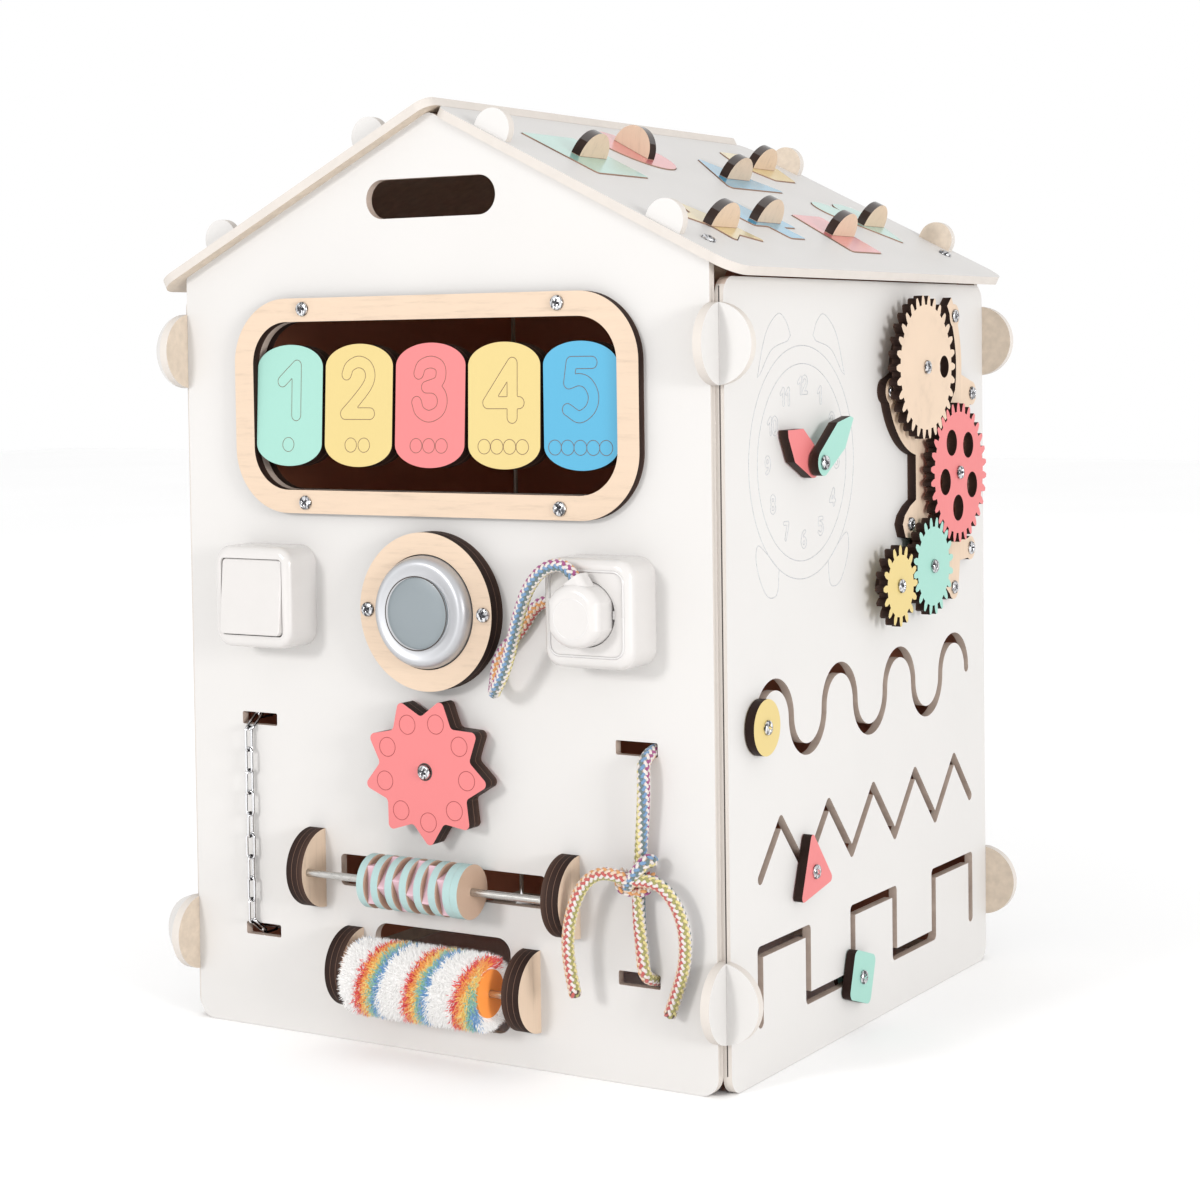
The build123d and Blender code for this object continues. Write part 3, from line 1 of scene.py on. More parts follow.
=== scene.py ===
"""Looks of the wooden busy board, on the frame of its CAD parts. Metres, z up, front at -y."""
import math

import bmesh
import bpy
import numpy as np
from mathutils import Matrix, Vector


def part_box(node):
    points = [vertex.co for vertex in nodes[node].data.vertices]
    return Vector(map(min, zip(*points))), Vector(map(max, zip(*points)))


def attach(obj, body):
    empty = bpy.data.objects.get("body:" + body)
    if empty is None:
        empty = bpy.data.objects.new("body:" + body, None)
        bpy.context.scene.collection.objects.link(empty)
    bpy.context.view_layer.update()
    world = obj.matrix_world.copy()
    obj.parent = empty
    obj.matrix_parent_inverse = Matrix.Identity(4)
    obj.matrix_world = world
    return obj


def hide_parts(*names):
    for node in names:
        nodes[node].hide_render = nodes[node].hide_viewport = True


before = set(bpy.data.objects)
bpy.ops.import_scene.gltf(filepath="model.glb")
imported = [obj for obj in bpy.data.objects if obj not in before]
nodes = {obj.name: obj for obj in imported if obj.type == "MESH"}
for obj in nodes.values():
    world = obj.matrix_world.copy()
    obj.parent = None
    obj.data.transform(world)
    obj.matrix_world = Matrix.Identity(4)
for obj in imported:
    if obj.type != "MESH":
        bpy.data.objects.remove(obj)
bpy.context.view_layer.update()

# FRONT and SIDE: outer faces of the front and the right wall. RIDGE: the gables' peak, under the roof.
MM = 0.001
FRONT = -0.20655
SIDE = 0.20925
RIDGE = 0.6105
PITCH = math.radians(26.5)
# Outward directions of the walls, of both roofs and down the right roof.
FWD, BACK, RIGHT, LEFT = (0, -1, 0), (0, 1, 0), (1, 0, 0), (-1, 0, 0)
UP = (math.sin(PITCH), 0, math.cos(PITCH))
LEFT_UP = (-UP[0], 0, UP[2])
DOWN_SLOPE = (math.cos(PITCH), 0, -math.sin(PITCH))


def in_scene(name, data):
    """New object, linked to the scene."""
    o = bpy.data.objects.new(name, data)
    bpy.context.scene.collection.objects.link(o)
    return o


# ---- camera
# Photograph's side, focal length and shift in its pixels; azimuth, elevation and roll in degrees.
IMAGE = 1200
FOCAL_PIXELS = 2528.136
SHIFT_PIXELS = -140
SENSOR = 36
CAMERA_TURN = (31.158, 2.486, -0.778)
CAMERA_AT = (0.93275, -1.54265, 0.4562)


def make_camera():
    """Camera solved from the straight edges of the house in the photograph."""
    az, el, roll = (math.radians(v) for v in CAMERA_TURN)
    ahead = Vector((-math.sin(az) * math.cos(el), math.cos(az) * math.cos(el), -math.sin(el)))
    right = Vector((math.cos(az), math.sin(az), 0))
    up = right.cross(ahead)
    r = right * math.cos(roll) + up * math.sin(roll)
    u = up * math.cos(roll) - right * math.sin(roll)
    cam = in_scene("camera", bpy.data.cameras.new("camera"))
    turn = Matrix((r, u, -ahead)).transposed().to_4x4()
    cam.matrix_world = Matrix.Translation(CAMERA_AT) @ turn
    cam.data.sensor_width = SENSOR
    cam.data.lens = FOCAL_PIXELS / IMAGE * SENSOR
    cam.data.shift_y = SHIFT_PIXELS / IMAGE
    cam.data.clip_start, cam.data.clip_end = 0.05, 30
    bpy.context.scene.camera = cam


make_camera()


# ---- colours
# How many times its own value a paint on the front shows in the studio's light.
LIGHT_ON_FRONT = 1.5


def lin(r, g, b):
    """Linear colour of an sRGB colour given from 0 to 255."""
    parts = (c / 255 for c in (r, g, b))
    return tuple(c / 12.92 if c <= 0.04045 else ((c + 0.055) / 1.055) ** 2.4 for c in parts) + (1,)


def seen(r, g, b):
    """Paint that looks like this colour in the studio's light."""
    return tuple(c / LIGHT_ON_FRONT for c in lin(r, g, b)[:3]) + (1,)


WHITE = seen(240, 237, 234)
CREAM = seen(238, 230, 222)
BIRCH = seen(240, 214, 188)
MINT = seen(172, 226, 211)
YELLOW = seen(240, 215, 140)
CORAL = seen(246, 136, 136)
BLUE = seen(84, 184, 224)
PINK = seen(247, 210, 222)
DISC = seen(192, 222, 220)
BURNT = lin(34, 25, 23)
BROWN = seen(242, 224, 203)
# Darker, redder tone for the inner faces inside the house: painted shade.
PAINTED_INSIDE_SHADE = lin(198, 128, 98)


# ---- node helpers
class Tree:
    """A material's node tree, with short calls for the nodes that are used most."""

    def __init__(self, name):
        self.mat = bpy.data.materials.new(name)
        self.mat.use_nodes = True
        self.nodes = self.mat.node_tree.nodes
        self.links = self.mat.node_tree.links
        self.shader = self.nodes["Principled BSDF"]
        coord = self.nodes.new("ShaderNodeTexCoord")
        self.place, self.normal = coord.outputs["Object"], coord.outputs["Normal"]

    def put(self, socket, value):
        if isinstance(value, bpy.types.NodeSocket):
            self.links.new(value, socket)
        else:
            socket.default_value = value

    def math(self, op, *values):
        n = self.nodes.new("ShaderNodeMath")
        n.operation = op
        for socket, value in zip(n.inputs, values):
            self.put(socket, value)
        return n.outputs[0]

    def dot(self, vector, axis):
        n = self.nodes.new("ShaderNodeVectorMath")
        n.operation = "DOT_PRODUCT"
        self.put(n.inputs[0], vector)
        n.inputs[1].default_value = axis
        return n.outputs["Value"]

    def noise(self, scale, stretch=(1, 1, 1), detail=4.0, rough=0.55):
        m = self.nodes.new("ShaderNodeMapping")
        m.inputs["Scale"].default_value = stretch
        self.links.new(self.place, m.inputs["Vector"])
        n = self.nodes.new("ShaderNodeTexNoise")
        n.inputs["Scale"].default_value = scale
        n.inputs["Detail"].default_value = detail
        n.inputs["Roughness"].default_value = rough
        self.links.new(m.outputs[0], n.inputs["Vector"])
        return n.outputs["Fac"]

    def ramp(self, fac, *stops):
        n = self.nodes.new("ShaderNodeValToRGB")
        e = n.color_ramp.elements
        e[0].position, e[0].color = stops[0]
        e[1].position, e[1].color = stops[-1]
        for at, colour in stops[1:-1]:
            e.new(at).color = colour
        self.put(n.inputs[0], fac)
        return n.outputs[0]

    def mix(self, fac, a, b):
        n = self.nodes.new("ShaderNodeMix")
        n.data_type = "RGBA"
        self.put(n.inputs[0], fac)
        self.put(n.inputs[6], a)
        self.put(n.inputs[7], b)
        return n.outputs[2]

    def bump(self, height, strength, distance):
        n = self.nodes.new("ShaderNodeBump")
        n.inputs["Strength"].default_value = strength
        n.inputs["Distance"].default_value = distance
        self.put(n.inputs["Height"], height)
        return n.outputs[0]

    def done(self, colour, rough, normal=None, **fixed):
        """The finished material; further shader inputs are fixed values."""
        self.put(self.shader.inputs["Base Color"], colour)
        self.put(self.shader.inputs["Roughness"], rough)
        if normal:
            self.links.new(normal, self.shader.inputs["Normal"])
        for key, value in fixed.items():
            self.shader.inputs[key.replace("_", " ")].default_value = value
        return self.mat


def shade(colour, k):
    return tuple(min(1, c * k) for c in colour[:3]) + (1,)


def grey(v):
    return (v, v, v, 1)


# ---- mesh helpers
def add_piece(name, mesh, body):
    o = in_scene(name, mesh)
    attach(o, body)
    return o


def mesh_piece(name, verts, faces, mats, body, index=None):
    """Smooth-shaded piece; index gives each face its material."""
    mesh = bpy.data.meshes.new(name)
    mesh.from_pydata([tuple(v) for v in verts], [], [tuple(f) for f in faces])
    for mat in mats:
        mesh.materials.append(mat)
    if index is not None:
        mesh.polygons.foreach_set("material_index", index)
    mesh.polygons.foreach_set("use_smooth", [True] * len(mesh.polygons))
    mesh.update()
    return add_piece(name, mesh, body)


def plain_mesh_of(curve_object):
    """The mesh that Blender makes of a curve object, which is then deleted."""
    mesh = bpy.data.meshes.new_from_object(curve_object)
    bpy.data.objects.remove(curve_object)
    return mesh


def line_piece(name, loops, half, mat, body, cyclic=True):
    """Engraved lines: thin square rods along the loops, sunk half into the surface."""
    curve = bpy.data.curves.new(name, "CURVE")
    curve.dimensions = "3D"
    curve.bevel_depth, curve.bevel_resolution = half, 0
    for loop in loops:
        spline = curve.splines.new("POLY")
        spline.points.add(len(loop) - 1)
        for point, place in zip(spline.points, loop):
            point.co = (*place, 1)
        spline.use_cyclic_u = cyclic
    mesh = plain_mesh_of(in_scene(name + "_curve", curve))
    mesh.name = name
    mesh.materials.clear()
    mesh.materials.append(mat)
    return add_piece(name, mesh, body)


def grid_faces(rows, cols, first=0):
    """Faces between rings of points, one ring after another."""
    faces = []
    for i in range(rows - 1):
        low, high = first + i * cols, first + (i + 1) * cols
        for j in range(cols):
            k = (j + 1) % cols
            faces.append((low + j, low + k, high + k, high + j))
    return faces


def join(verts, faces, more, skin):
    """Adds further vertices and the faces between them to a mesh's lists."""
    first = len(verts)
    verts += more
    faces += [tuple(first + v for v in f) for f in skin]


def frames_along(points):
    """Tangent, normal and third axis at each point; the normal starts at ROPE_FACING and doesn't twist."""
    points = np.asarray(points)
    tangents = np.gradient(points, axis=0)
    tangents /= np.linalg.norm(tangents, axis=1)[:, None]
    normal = np.asarray(ROPE_FACING, float)
    out = []
    for t in tangents:
        normal = normal - t * (normal @ t)
        normal /= np.linalg.norm(normal)
        out.append((t, normal, np.cross(t, normal)))
    return out


# ---- cords
# Routes in millimetres: x from ROPE_X or SOCKET_X, y from FRONT, z from the floor.
ROPE_FACING = (0.517, -0.855, 0.04)
ROPE_D = 0.0084
CORE_R = ROPE_D / 2 - 0.0011
KNOT_CORE_R = ROPE_D / 2 - 0.0012
ROPE_X = SIDE - 0.0608
SOCKET_X = SIDE - 0.07765
ROUTES = {
    "pull_rope": (ROPE_X, ((10.15, 17.0, 210.4), (10.15, -9.8, 210.4), (10.95, -10.5, 187.0),
                           (8.55, -9.2, 161.0), (5.55, -8.2, 135.0), (4.75, -8.4, 110.0),
                           (7.55, -9.6, 88.0), (9.95, -9.8, 66.5), (9.95, 17.0, 66.5))),
    "tie_rope_left": (ROPE_X, ((3.05, -18.0, 132.5), (-9.45, -19.5, 137.0), (-23.95, -20.5, 132.0),
                               (-33.45, -22.0, 116.0), (-37.65, -23.4, 96.0), (-37.25, -22.5, 76.0),
                               (-33.95, -20.5, 57.5))),
    "tie_rope_right": (ROPE_X, ((7.05, -18.0, 132.5), (20.55, -17.0, 134.5), (32.55, -14.0, 123.5),
                                (38.85, -11.5, 106.0), (38.55, -9.6, 86.0), (33.05, -8.6, 67.5),
                                (26.05, -8.4, 49.5))),
    "socket_rope": (SOCKET_X, ((-2.5, -38.0, 318.0), (-8.2, -38.0, 326.45), (-22.8, -38.6, 325.6),
                               (-35.5, -38.0, 313.4), (-44.0, -35.5, 297.6), (-51.4, -31.5, 281.0),
                               (-58.6, -27.5, 265.5), (-65.4, -25.0, 252.8), (-71.4, -23.4, 245.0),
                               (-78.2, -14.6, 240.8), (-83.0, -5.4, 247.6), (-81.8, -5.0, 258.6),
                               (-76.2, -5.0, 268.4), (-67.4, -5.0, 276.8), (-59.8, -5.0, 285.6),
                               (-53.4, -5.0, 295.4), (-44.4, -5.0, 300.6), (-31.75, -5.0, 300.6))),
}
KNOT_ROUTES = {
    "hitch": ((-5.0, -8.0, 134.5), (-6.0, -13.0, 129.5), (-1.5, -14.5, 125.4), (4.5, -8.5, 124.6),
              (11.0, -12.5, 125.6), (15.0, -12.5, 129.5), (13.5, -7.0, 134.0)),
    "lap": ((-1.5, -9.0, 127.5), (0.3, -13.8, 127.3), (4.8, -18.0, 131.5), (9.4, -19.0, 137.5),
            (13.7, -18.2, 143.0), (16.2, -14.5, 146.0), (15.8, -9.5, 143.5)),
}
# Colour of each lengthwise row of stitches, and how far each rope is turned and twisted, in degrees.
ROWS = ("yellow", "olive", "white", "red", "cream", "orange",
        "white", "purple", "white", "blue", "grey", "white")
ROPE_TURN = {"pull_rope": 198, "tie_rope_left": -95, "tie_rope_right": -60, "socket_rope": 235}
ROPE_TWIST = {"pull_rope": -246}
KNOT_TURN = {"hitch": -69, "lap": -66}
STOPPERS = ((0.01005, 0.0200, 0.2104), (0.01005, 0.0200, 0.0665))
LINE_STEP = 0.0006
STITCH = 0.0039
STITCH_SLANT = 33
STITCH_HIGH = 0.0010
STITCH_SHARE = 0.62
STITCH_RINGS = ((-1.0, 0.0), (-0.86, 0.5), (-0.45, 0.9), (0.0, 1.0), (0.45, 0.9), (0.86, 0.5), (1.0, 0.0))
FUSED_RINGS = ((-0.004, 0.0036), (-0.0015, 0.0040), (0.0, 0.0034), (0.0012, 0.0022), (0.0016, 0.0006))
ROPE_COLOURS = dict(
    yellow=seen(250, 234, 160), olive=seen(178, 172, 100), white=seen(253, 243, 237),
    red=seen(214, 96, 90), cream=seen(254, 226, 200), orange=seen(244, 170, 100),
    purple=seen(176, 78, 140), blue=seen(126, 166, 208), grey=seen(112, 134, 134),
    burnt=seen(96, 66, 54),
)


def yarn(name, colour):
    t = Tree("yarn_" + name)
    fuzz = t.noise(1500, detail=3)
    tone = t.ramp(fuzz, (0.25, shade(colour, 0.72)), (0.7, colour))
    return t.done(tone, 0.9, t.bump(fuzz, 0.35, 0.0003), Sheen_Weight=0.3, Sheen_Roughness=0.6)


yarns = {name: yarn(name, colour) for name, colour in ROPE_COLOURS.items()}
yarn_names = sorted(yarns)


def nurbs_line(name, points):
    """Curve that is drawn smoothly between its first and last point."""
    curve = bpy.data.curves.new(name, "CURVE")
    curve.dimensions = "3D"
    spline = curve.splines.new("NURBS")
    spline.points.add(len(points) - 1)
    for point, place in zip(spline.points, points):
        point.co = (*place, 1)
    spline.order_u = 3
    spline.use_endpoint_u = True
    curve.resolution_u = 24
    return curve


def line_of(curve):
    """Evenly spaced points along a curve, read from the curve without its bevel."""
    bare = curve.copy()
    bare.bevel_depth = 0
    mesh = plain_mesh_of(in_scene("bare_line", bare))
    rough = np.array([v.co for v in mesh.vertices])
    bpy.data.meshes.remove(mesh)
    return even(rough)


def even(rough):
    """The same line with its points LINE_STEP apart."""
    lengths = np.concatenate(([0], np.cumsum(np.linalg.norm(np.diff(rough, axis=0), axis=1))))
    places = np.linspace(0, lengths[-1], max(3, int(lengths[-1] / LINE_STEP)))
    return np.stack([np.interp(places, lengths, rough[:, k]) for k in range(3)], 1)


def length_of(line):
    return float(np.linalg.norm(np.diff(line, axis=0), axis=1).sum())


def stitches(line, turn, twist=0.0, way=1):
    """Rows of slanted stitches on a rope: vertices, faces and a colour for each face."""
    verts, faces, index = [], [], []
    frames = frames_along(line)
    radius = ROPE_D / 2
    count = max(1, int(length_of(line) / STITCH))
    rows = len(ROWS)
    half_long = STITCH_SHARE * STITCH
    half_wide = STITCH_SHARE * 2 * math.pi * radius / rows
    for row, colour in enumerate(ROWS):
        slant = math.radians(STITCH_SLANT if row % 2 else -STITCH_SLANT)
        which = yarn_names.index(colour)
        for k in range(count):
            place = (k + (0.5 if row % 2 else 0.0) + 0.25) / count * (len(line) - 1)
            i = min(int(place), len(line) - 1)
            t, n, b = frames[i]
            angle = math.radians(turn + twist * (k + 0.5) / count) + way * 2 * math.pi * row / rows
            outward = n * math.cos(angle) + b * math.sin(angle)
            sideways = np.cross(t, outward)
            along = t * math.cos(slant) + sideways * math.sin(slant)
            across = np.cross(along, outward)
            centre = line[i] + outward * (radius - STITCH_HIGH)
            first = len(verts)
            for a, r in STITCH_RINGS:
                middle = centre + along * a * half_long
                for j in range(6):
                    c, s = math.cos(math.pi * j / 3) * r, math.sin(math.pi * j / 3) * r
                    verts.append(middle + across * c * half_wide + outward * s * STITCH_HIGH)
            more = grid_faces(len(STITCH_RINGS), 6, first)
            faces += more
            index += [which] * len(more)
    return verts, faces, index


def yarn_piece(name, verts, faces, index):
    mats = [yarns[n] for n in yarn_names]
    return mesh_piece(name, verts, faces, mats, "house", index)


def rope_pieces(node):
    """A rope's core, its stitches and its line."""
    anchor, route = ROUTES[node]
    points = [(anchor + x * MM, FRONT + y * MM, z * MM) for x, y, z in route]
    curve = nurbs_line(node + "_core", points)
    line = line_of(curve)
    curve.bevel_depth = CORE_R
    curve.bevel_resolution = 4
    curve.use_fill_caps = True
    curve.materials.append(yarns["cream"])
    core = in_scene(node + "_core", curve)
    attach(core, "house")
    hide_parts(node)
    way = -1 if node == "socket_rope" else 1
    cover = yarn_piece(node + "_stitches", *stitches(line, ROPE_TURN[node], ROPE_TWIST.get(node, 0.0), way))
    return core, cover, line


def wound(name, path, turn, replaces=None):
    """Rope that lies in a knot: a core with the same rows of stitches."""
    line = even(np.array(path))
    frames = frames_along(line)
    verts, sides = [], 8
    for p, (_, n, b) in zip(line[::3], frames[::3]):
        for j in range(sides):
            a = 2 * math.pi * j / sides
            verts.append(p + (n * math.cos(a) + b * math.sin(a)) * KNOT_CORE_R)
    faces = grid_faces(len(line[::3]), sides)
    faces += [tuple(range(sides)), tuple(range(len(verts) - sides, len(verts)))]
    more, skin, index = stitches(line, turn)
    index = [yarn_names.index("cream")] * len(faces) + index
    join(verts, faces, more, skin)
    o = yarn_piece(name, verts, faces, index)
    if replaces:
        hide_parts(replaces)
    return o


def stopper_path(centre):
    """Helix round an axis that runs to the back."""
    radius, turns, rise, count = 0.0045, 1.6, 0.0075, 60
    axis = Vector(BACK)
    side = axis.orthogonal().normalized()
    third = axis.cross(side)
    path = []
    for k in range(count + 1):
        a = 2 * math.pi * turns * k / count
        out = side * math.cos(a) + third * math.sin(a)
        path.append(tuple(Vector(centre) + out * radius + axis * rise * (k / count - 0.5)))
    return path


def fused_tip(name, line):
    """Melted end of a cut rope."""
    t = line[-1] - line[-6]
    t /= np.linalg.norm(t)
    n = np.cross(t, BACK)
    n /= np.linalg.norm(n)
    b = np.cross(t, n)
    verts, sides = [], 10
    for a, r in FUSED_RINGS:
        for j in range(sides):
            wobble = 1 + 0.12 * math.sin(3 * j + 5 * a / 0.004)
            out = n * math.cos(2 * math.pi * j / sides) + b * math.sin(2 * math.pi * j / sides)
            verts.append(line[-1] + t * a + out * r * wobble)
    rings = len(FUSED_RINGS)
    faces = grid_faces(rings, sides) + [tuple(range((rings - 1) * sides, rings * sides))]
    mesh_piece(name, verts, faces, [yarns["burnt"]], "house")


def make_ropes():
    """The ropes, their centre knot, the stopper knots behind the wall and the fused ends."""
    cords = {node: rope_pieces(node) for node in ROUTES}
    for name, route in KNOT_ROUTES.items():
        points = [(ROPE_X + x * MM, FRONT + y * MM, z * MM) for x, y, z in route]
        line = line_of(nurbs_line(name, points))
        stands_for = "rope_knots" if name == "hitch" else None
        wound("centre_" + name, line, KNOT_TURN[name], stands_for)
    for k, (x, y, z) in enumerate(STOPPERS):
        path = stopper_path((ROPE_X + x, FRONT + y, z))
        wound(f"stopper_knot_{k + 1}", path, 0)
    fused_tip("fused_tip_1", cords["tie_rope_left"][2])
    fused_tip("fused_tip_2", cords["tie_rope_right"][2])


make_ropes()


# ---- plywood
def board(name, axis, face, back=None, edge="burnt", span=(0, 1), grain=(1, 1, 12),
          knob=None, plies=1, gloss=0.0, pair=False):
    """Board with its face towards axis and cut edges round the rim.

    span is where the back and the face lie along axis; knob is the axis of a wooden knob, the level
    above which it starts and the direction across it; pair is for two boards either side of x = 0.
    """
    t = Tree(name)
    side = t.dot(t.normal, axis)
    depth = t.dot(t.place, axis)
    if pair:
        depth = t.math("ABSOLUTE", depth)
    stretch = tuple(1.0 if g > 1 else 12.0 for g in grain)
    fibre = t.noise(28, stretch, 6, 0.6)
    cloud = t.noise(9, detail=2)
    fine = t.noise(140, stretch, 3)

    def surface(colour):
        if colour == BIRCH:
            grained = t.math("MULTIPLY_ADD", fine, 0.35, fibre)
            return t.ramp(grained, (0.35, shade(colour, 0.80)), (0.62, colour), (0.95, shade(colour, 1.05)))
        if colour == BROWN:
            return t.ramp(t.noise(160, detail=3), (0.3, shade(colour, 0.86)), (0.75, shade(colour, 1.06)))
        return t.ramp(cloud, (0.2, shade(colour, 0.965)), (0.8, colour))

    lo, hi = span
    along = t.math("DIVIDE", t.math("SUBTRACT", depth, lo), hi - lo)
    soot = t.noise(90, detail=3)
    if edge == "burnt":
        rim = t.ramp(along, (0.0, lin(74, 56, 48)), (0.3, lin(46, 34, 30)),
                     (0.62, BURNT), (1.0, lin(28, 20, 18)))
        streak = t.math("MULTIPLY", t.noise(60, detail=4), 0.5)
        rim = t.mix(streak, rim, lin(64, 44, 36))
        if plies > 1:
            place = t.math("FRACT", t.math("ADD", t.math("MULTIPLY", along, float(plies)), 0.5))
            seam = t.math("LESS_THAN", t.math("ABSOLUTE", t.math("SUBTRACT", place, 0.5)), 0.04)
            off_middle = t.math("ABSOLUTE", t.math("SUBTRACT", along, 0.5))
            ends = t.math("LESS_THAN", off_middle, 0.5 - 0.25 / plies)
            rim = t.mix(t.math("MULTIPLY", seam, ends), rim, lin(104, 80, 68))
    elif edge == "white":
        rim = t.ramp(soot, (0.3, shade(CREAM, 0.95)), (0.7, CREAM))
    elif edge == "slot":
        inside = t.ramp(soot, (0.3, lin(176, 158, 146)), (0.7, lin(196, 180, 168)))
        rim = t.mix(t.math("GREATER_THAN", cut_distance(t, axis), 0.0), inside, CREAM)
    elif isinstance(edge, tuple):
        rim = t.ramp(soot, (0.2, shade(edge, 0.93)), (0.8, edge))
    else:
        layers = t.math("PINGPONG", t.math("MULTIPLY", along, 5.0), 1.0)
        rim = t.ramp(layers, (0.25, shade(BIRCH, 0.62)), (0.6, shade(BIRCH, 0.92)))
    front = t.math("GREATER_THAN", side, 0.6)
    behind = t.math("LESS_THAN", side, -0.6)
    colour = t.mix(front, rim, surface(face))
    inner = surface(back or face)
    # Inside the house, away from the rim and tabs, the inner faces take a darker, redder tone: painted shade.
    if edge == "slot":
        inside_shade = t.ramp(cloud, (0.3, shade(PAINTED_INSIDE_SHADE, 0.85)), (0.7, PAINTED_INSIDE_SHADE))
        inner = t.mix(t.math("GREATER_THAN", cut_distance(t, axis), 0.0), inside_shade, inner)
    colour = t.mix(behind, colour, inner)
    painted = face not in (BIRCH, BROWN)
    if knob:
        up, level, across = knob
        above = t.math("GREATER_THAN", t.dot(t.place, up), level)
        flat = t.math("GREATER_THAN", t.math("ABSOLUTE", t.dot(t.normal, across)), 0.7)
        charred = t.mix(t.math("MULTIPLY", soot, 0.4), BURNT, lin(80, 60, 50))
        wood = t.mix(flat, charred, surface(BIRCH))
        colour = t.mix(above, colour, wood)
    relief = t.math("ADD", t.math("MULTIPLY", fibre, 0.6 if painted else 1.0), t.math("MULTIPLY", fine, 0.5))
    rough = t.ramp(fine, (0.3, grey(0.42 if painted else 0.58)), (0.8, grey(0.52 if painted else 0.7)))
    # The cut edges are dull and the flat sides shine a little.
    flat_side = t.math("MAXIMUM", front, behind)
    t.put(t.shader.inputs["Specular IOR Level"], t.math("MULTIPLY_ADD", flat_side, 0.4, 0.1))
    if gloss:
        t.put(t.shader.inputs["Coat Weight"], t.math("MULTIPLY", front, gloss))
    return t.done(colour, rough, t.bump(relief, 0.12 if painted else 0.2, 0.0006), Coat_Roughness=0.2)


CORNER_RIM, GABLE_RIM, FOOT_RIM = 0.0085, 0.012, 0.008
SIDE_WALL_MIDDLE, SIDE_WALL_REACH = 0.26, 0.25


def cut_distance(t, axis):
    """Positive on a wall's outer rim and its tabs, negative at slots and openings inside the house."""
    across = BACK if axis[0] else RIGHT
    half = -FRONT if axis[0] else SIDE
    height = t.dot(t.place, (0, 0, 1))
    wide = t.math("SUBTRACT", t.math("ABSOLUTE", t.dot(t.place, across)), half - CORNER_RIM)
    if axis[0]:
        off_middle = t.math("ABSOLUTE", t.math("SUBTRACT", height, SIDE_WALL_MIDDLE))
        return t.math("MAXIMUM", wide, t.math("SUBTRACT", off_middle, SIDE_WALL_REACH))
    level = RIDGE * UP[2] - GABLE_RIM
    right = t.math("SUBTRACT", t.dot(t.place, UP), level)
    left = t.math("SUBTRACT", t.dot(t.place, LEFT_UP), level)
    low = t.math("SUBTRACT", FOOT_RIM, height)
    return t.math("MAXIMUM", t.math("MAXIMUM", wide, low), t.math("MAXIMUM", right, left))


def metal(name, colour, rough, brushed=None):
    """Plain metal, or drawn metal with streaks stretched by brushed."""
    t = Tree(name)
    if brushed:
        streak = t.noise(260, brushed, 3)
        tone = t.ramp(streak, (0.3, shade(colour, 0.82)), (0.7, colour))
        dull = t.ramp(streak, (0.3, grey(rough)), (0.7, grey(rough + 0.12)))
        return t.done(tone, dull, t.bump(streak, 0.1, 0.0002), Metallic=1.0)
    haze = t.noise(60, detail=3)
    tone = t.ramp(haze, (0.3, shade(colour, 0.93)), (0.7, colour))
    return t.done(tone, t.ramp(haze, (0.3, grey(rough)), (0.7, grey(rough + 0.06))), Metallic=1.0)


def sparkle(name, scale, dark, bright):
    """Chrome on small round pieces, with painted reflections: dark and bright streaks of noise in its colour.
    """
    t = Tree(name)
    glint = t.noise(scale, (1, 1, 0.5), 2)
    tone = t.ramp(glint, (0.42, lin(dark, dark, dark + 3)), (0.56, lin(bright, bright, bright + 2)))
    return t.done(tone, 0.16, Metallic=1.0)


def wire(name):
    """Chrome wire of the chain with a painted reflection: bright along the front of each link and dark beside
    it, by which way the surface faces.
    """
    t = Tree(name)
    # Painted highlight: the colour is set by how the surface faces a fixed direction towards the front.
    front = t.math("ABSOLUTE", t.dot(t.normal, (0.3, -0.954, 0)))
    streak = t.math("MULTIPLY", t.noise(500, (1, 1, 0.4), 2), 0.6)
    tone = t.ramp(t.math("ADD", front, streak), (0.76, lin(58, 58, 61)), (1.14, lin(226, 226, 228)))
    return t.done(tone, 0.16, Metallic=1.0)


def plastic(name, colour, rough, coat=0.0, metallic=0.0):
    t = Tree(name)
    haze = t.noise(35, detail=3)
    fine = t.noise(900, detail=2)
    tone = t.ramp(haze, (0.25, shade(colour, 0.965)), (0.75, colour))
    dull = t.ramp(haze, (0.3, grey(rough)), (0.7, grey(rough + 0.05)))
    relief = t.bump(fine, 0.04, 0.0002)
    return t.done(tone, dull, relief, Metallic=metallic, Coat_Weight=coat, Coat_Roughness=0.08)


def paint(node, mat):
    o = nodes[node]
    o.data.materials.clear()
    o.data.materials.append(mat)
    return o


def span_of(node, axis):
    """How far a node reaches along an axis."""
    lo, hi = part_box(node)
    a = Vector(axis)
    return tuple(sorted((a.dot(Vector(lo)), a.dot(Vector(hi)))))


def dress(node, axis, face, back=None, edge="burnt", grain=(1, 1, 12), **more):
    """Board material on a node, with the span that the node has."""
    paint(node, board(node + "_board", axis, face, back, edge, span_of(node, axis), grain, **more))


for node, axis in dict(front_wall=FWD, back_wall=BACK, right_wall=RIGHT, left_wall=LEFT).items():
    dress(node, axis, WHITE, BROWN, "slot")
paint("roof_right", board("roof_right_board", UP, WHITE, BROWN, "white"))
paint("roof_left", board("roof_left_board", LEFT_UP, WHITE, BROWN, "white"))
dress("roof_cleats", FWD, BIRCH, edge="birch", grain=(12, 1, 1))
dress("window_frame", FWD, BIRCH, grain=(12, 1, 1))
dress("window_back_frame", FWD, BIRCH, grain=(12, 1, 1))
dress("lamp_ring", FWD, BIRCH, grain=(12, 1, 1), plies=2)
dress("star_wheel", FWD, CORAL, plies=2)
for node in ("spinner_brackets", "roller_brackets"):
    reach = [abs(v.co.x) for v in nodes[node].data.vertices]
    paint(node, board(node + "_board", RIGHT, BIRCH, span=(min(reach), max(reach)), plies=3, pair=True))
dress("gear_birch", RIGHT, BIRCH, grain=(1, 12, 12))
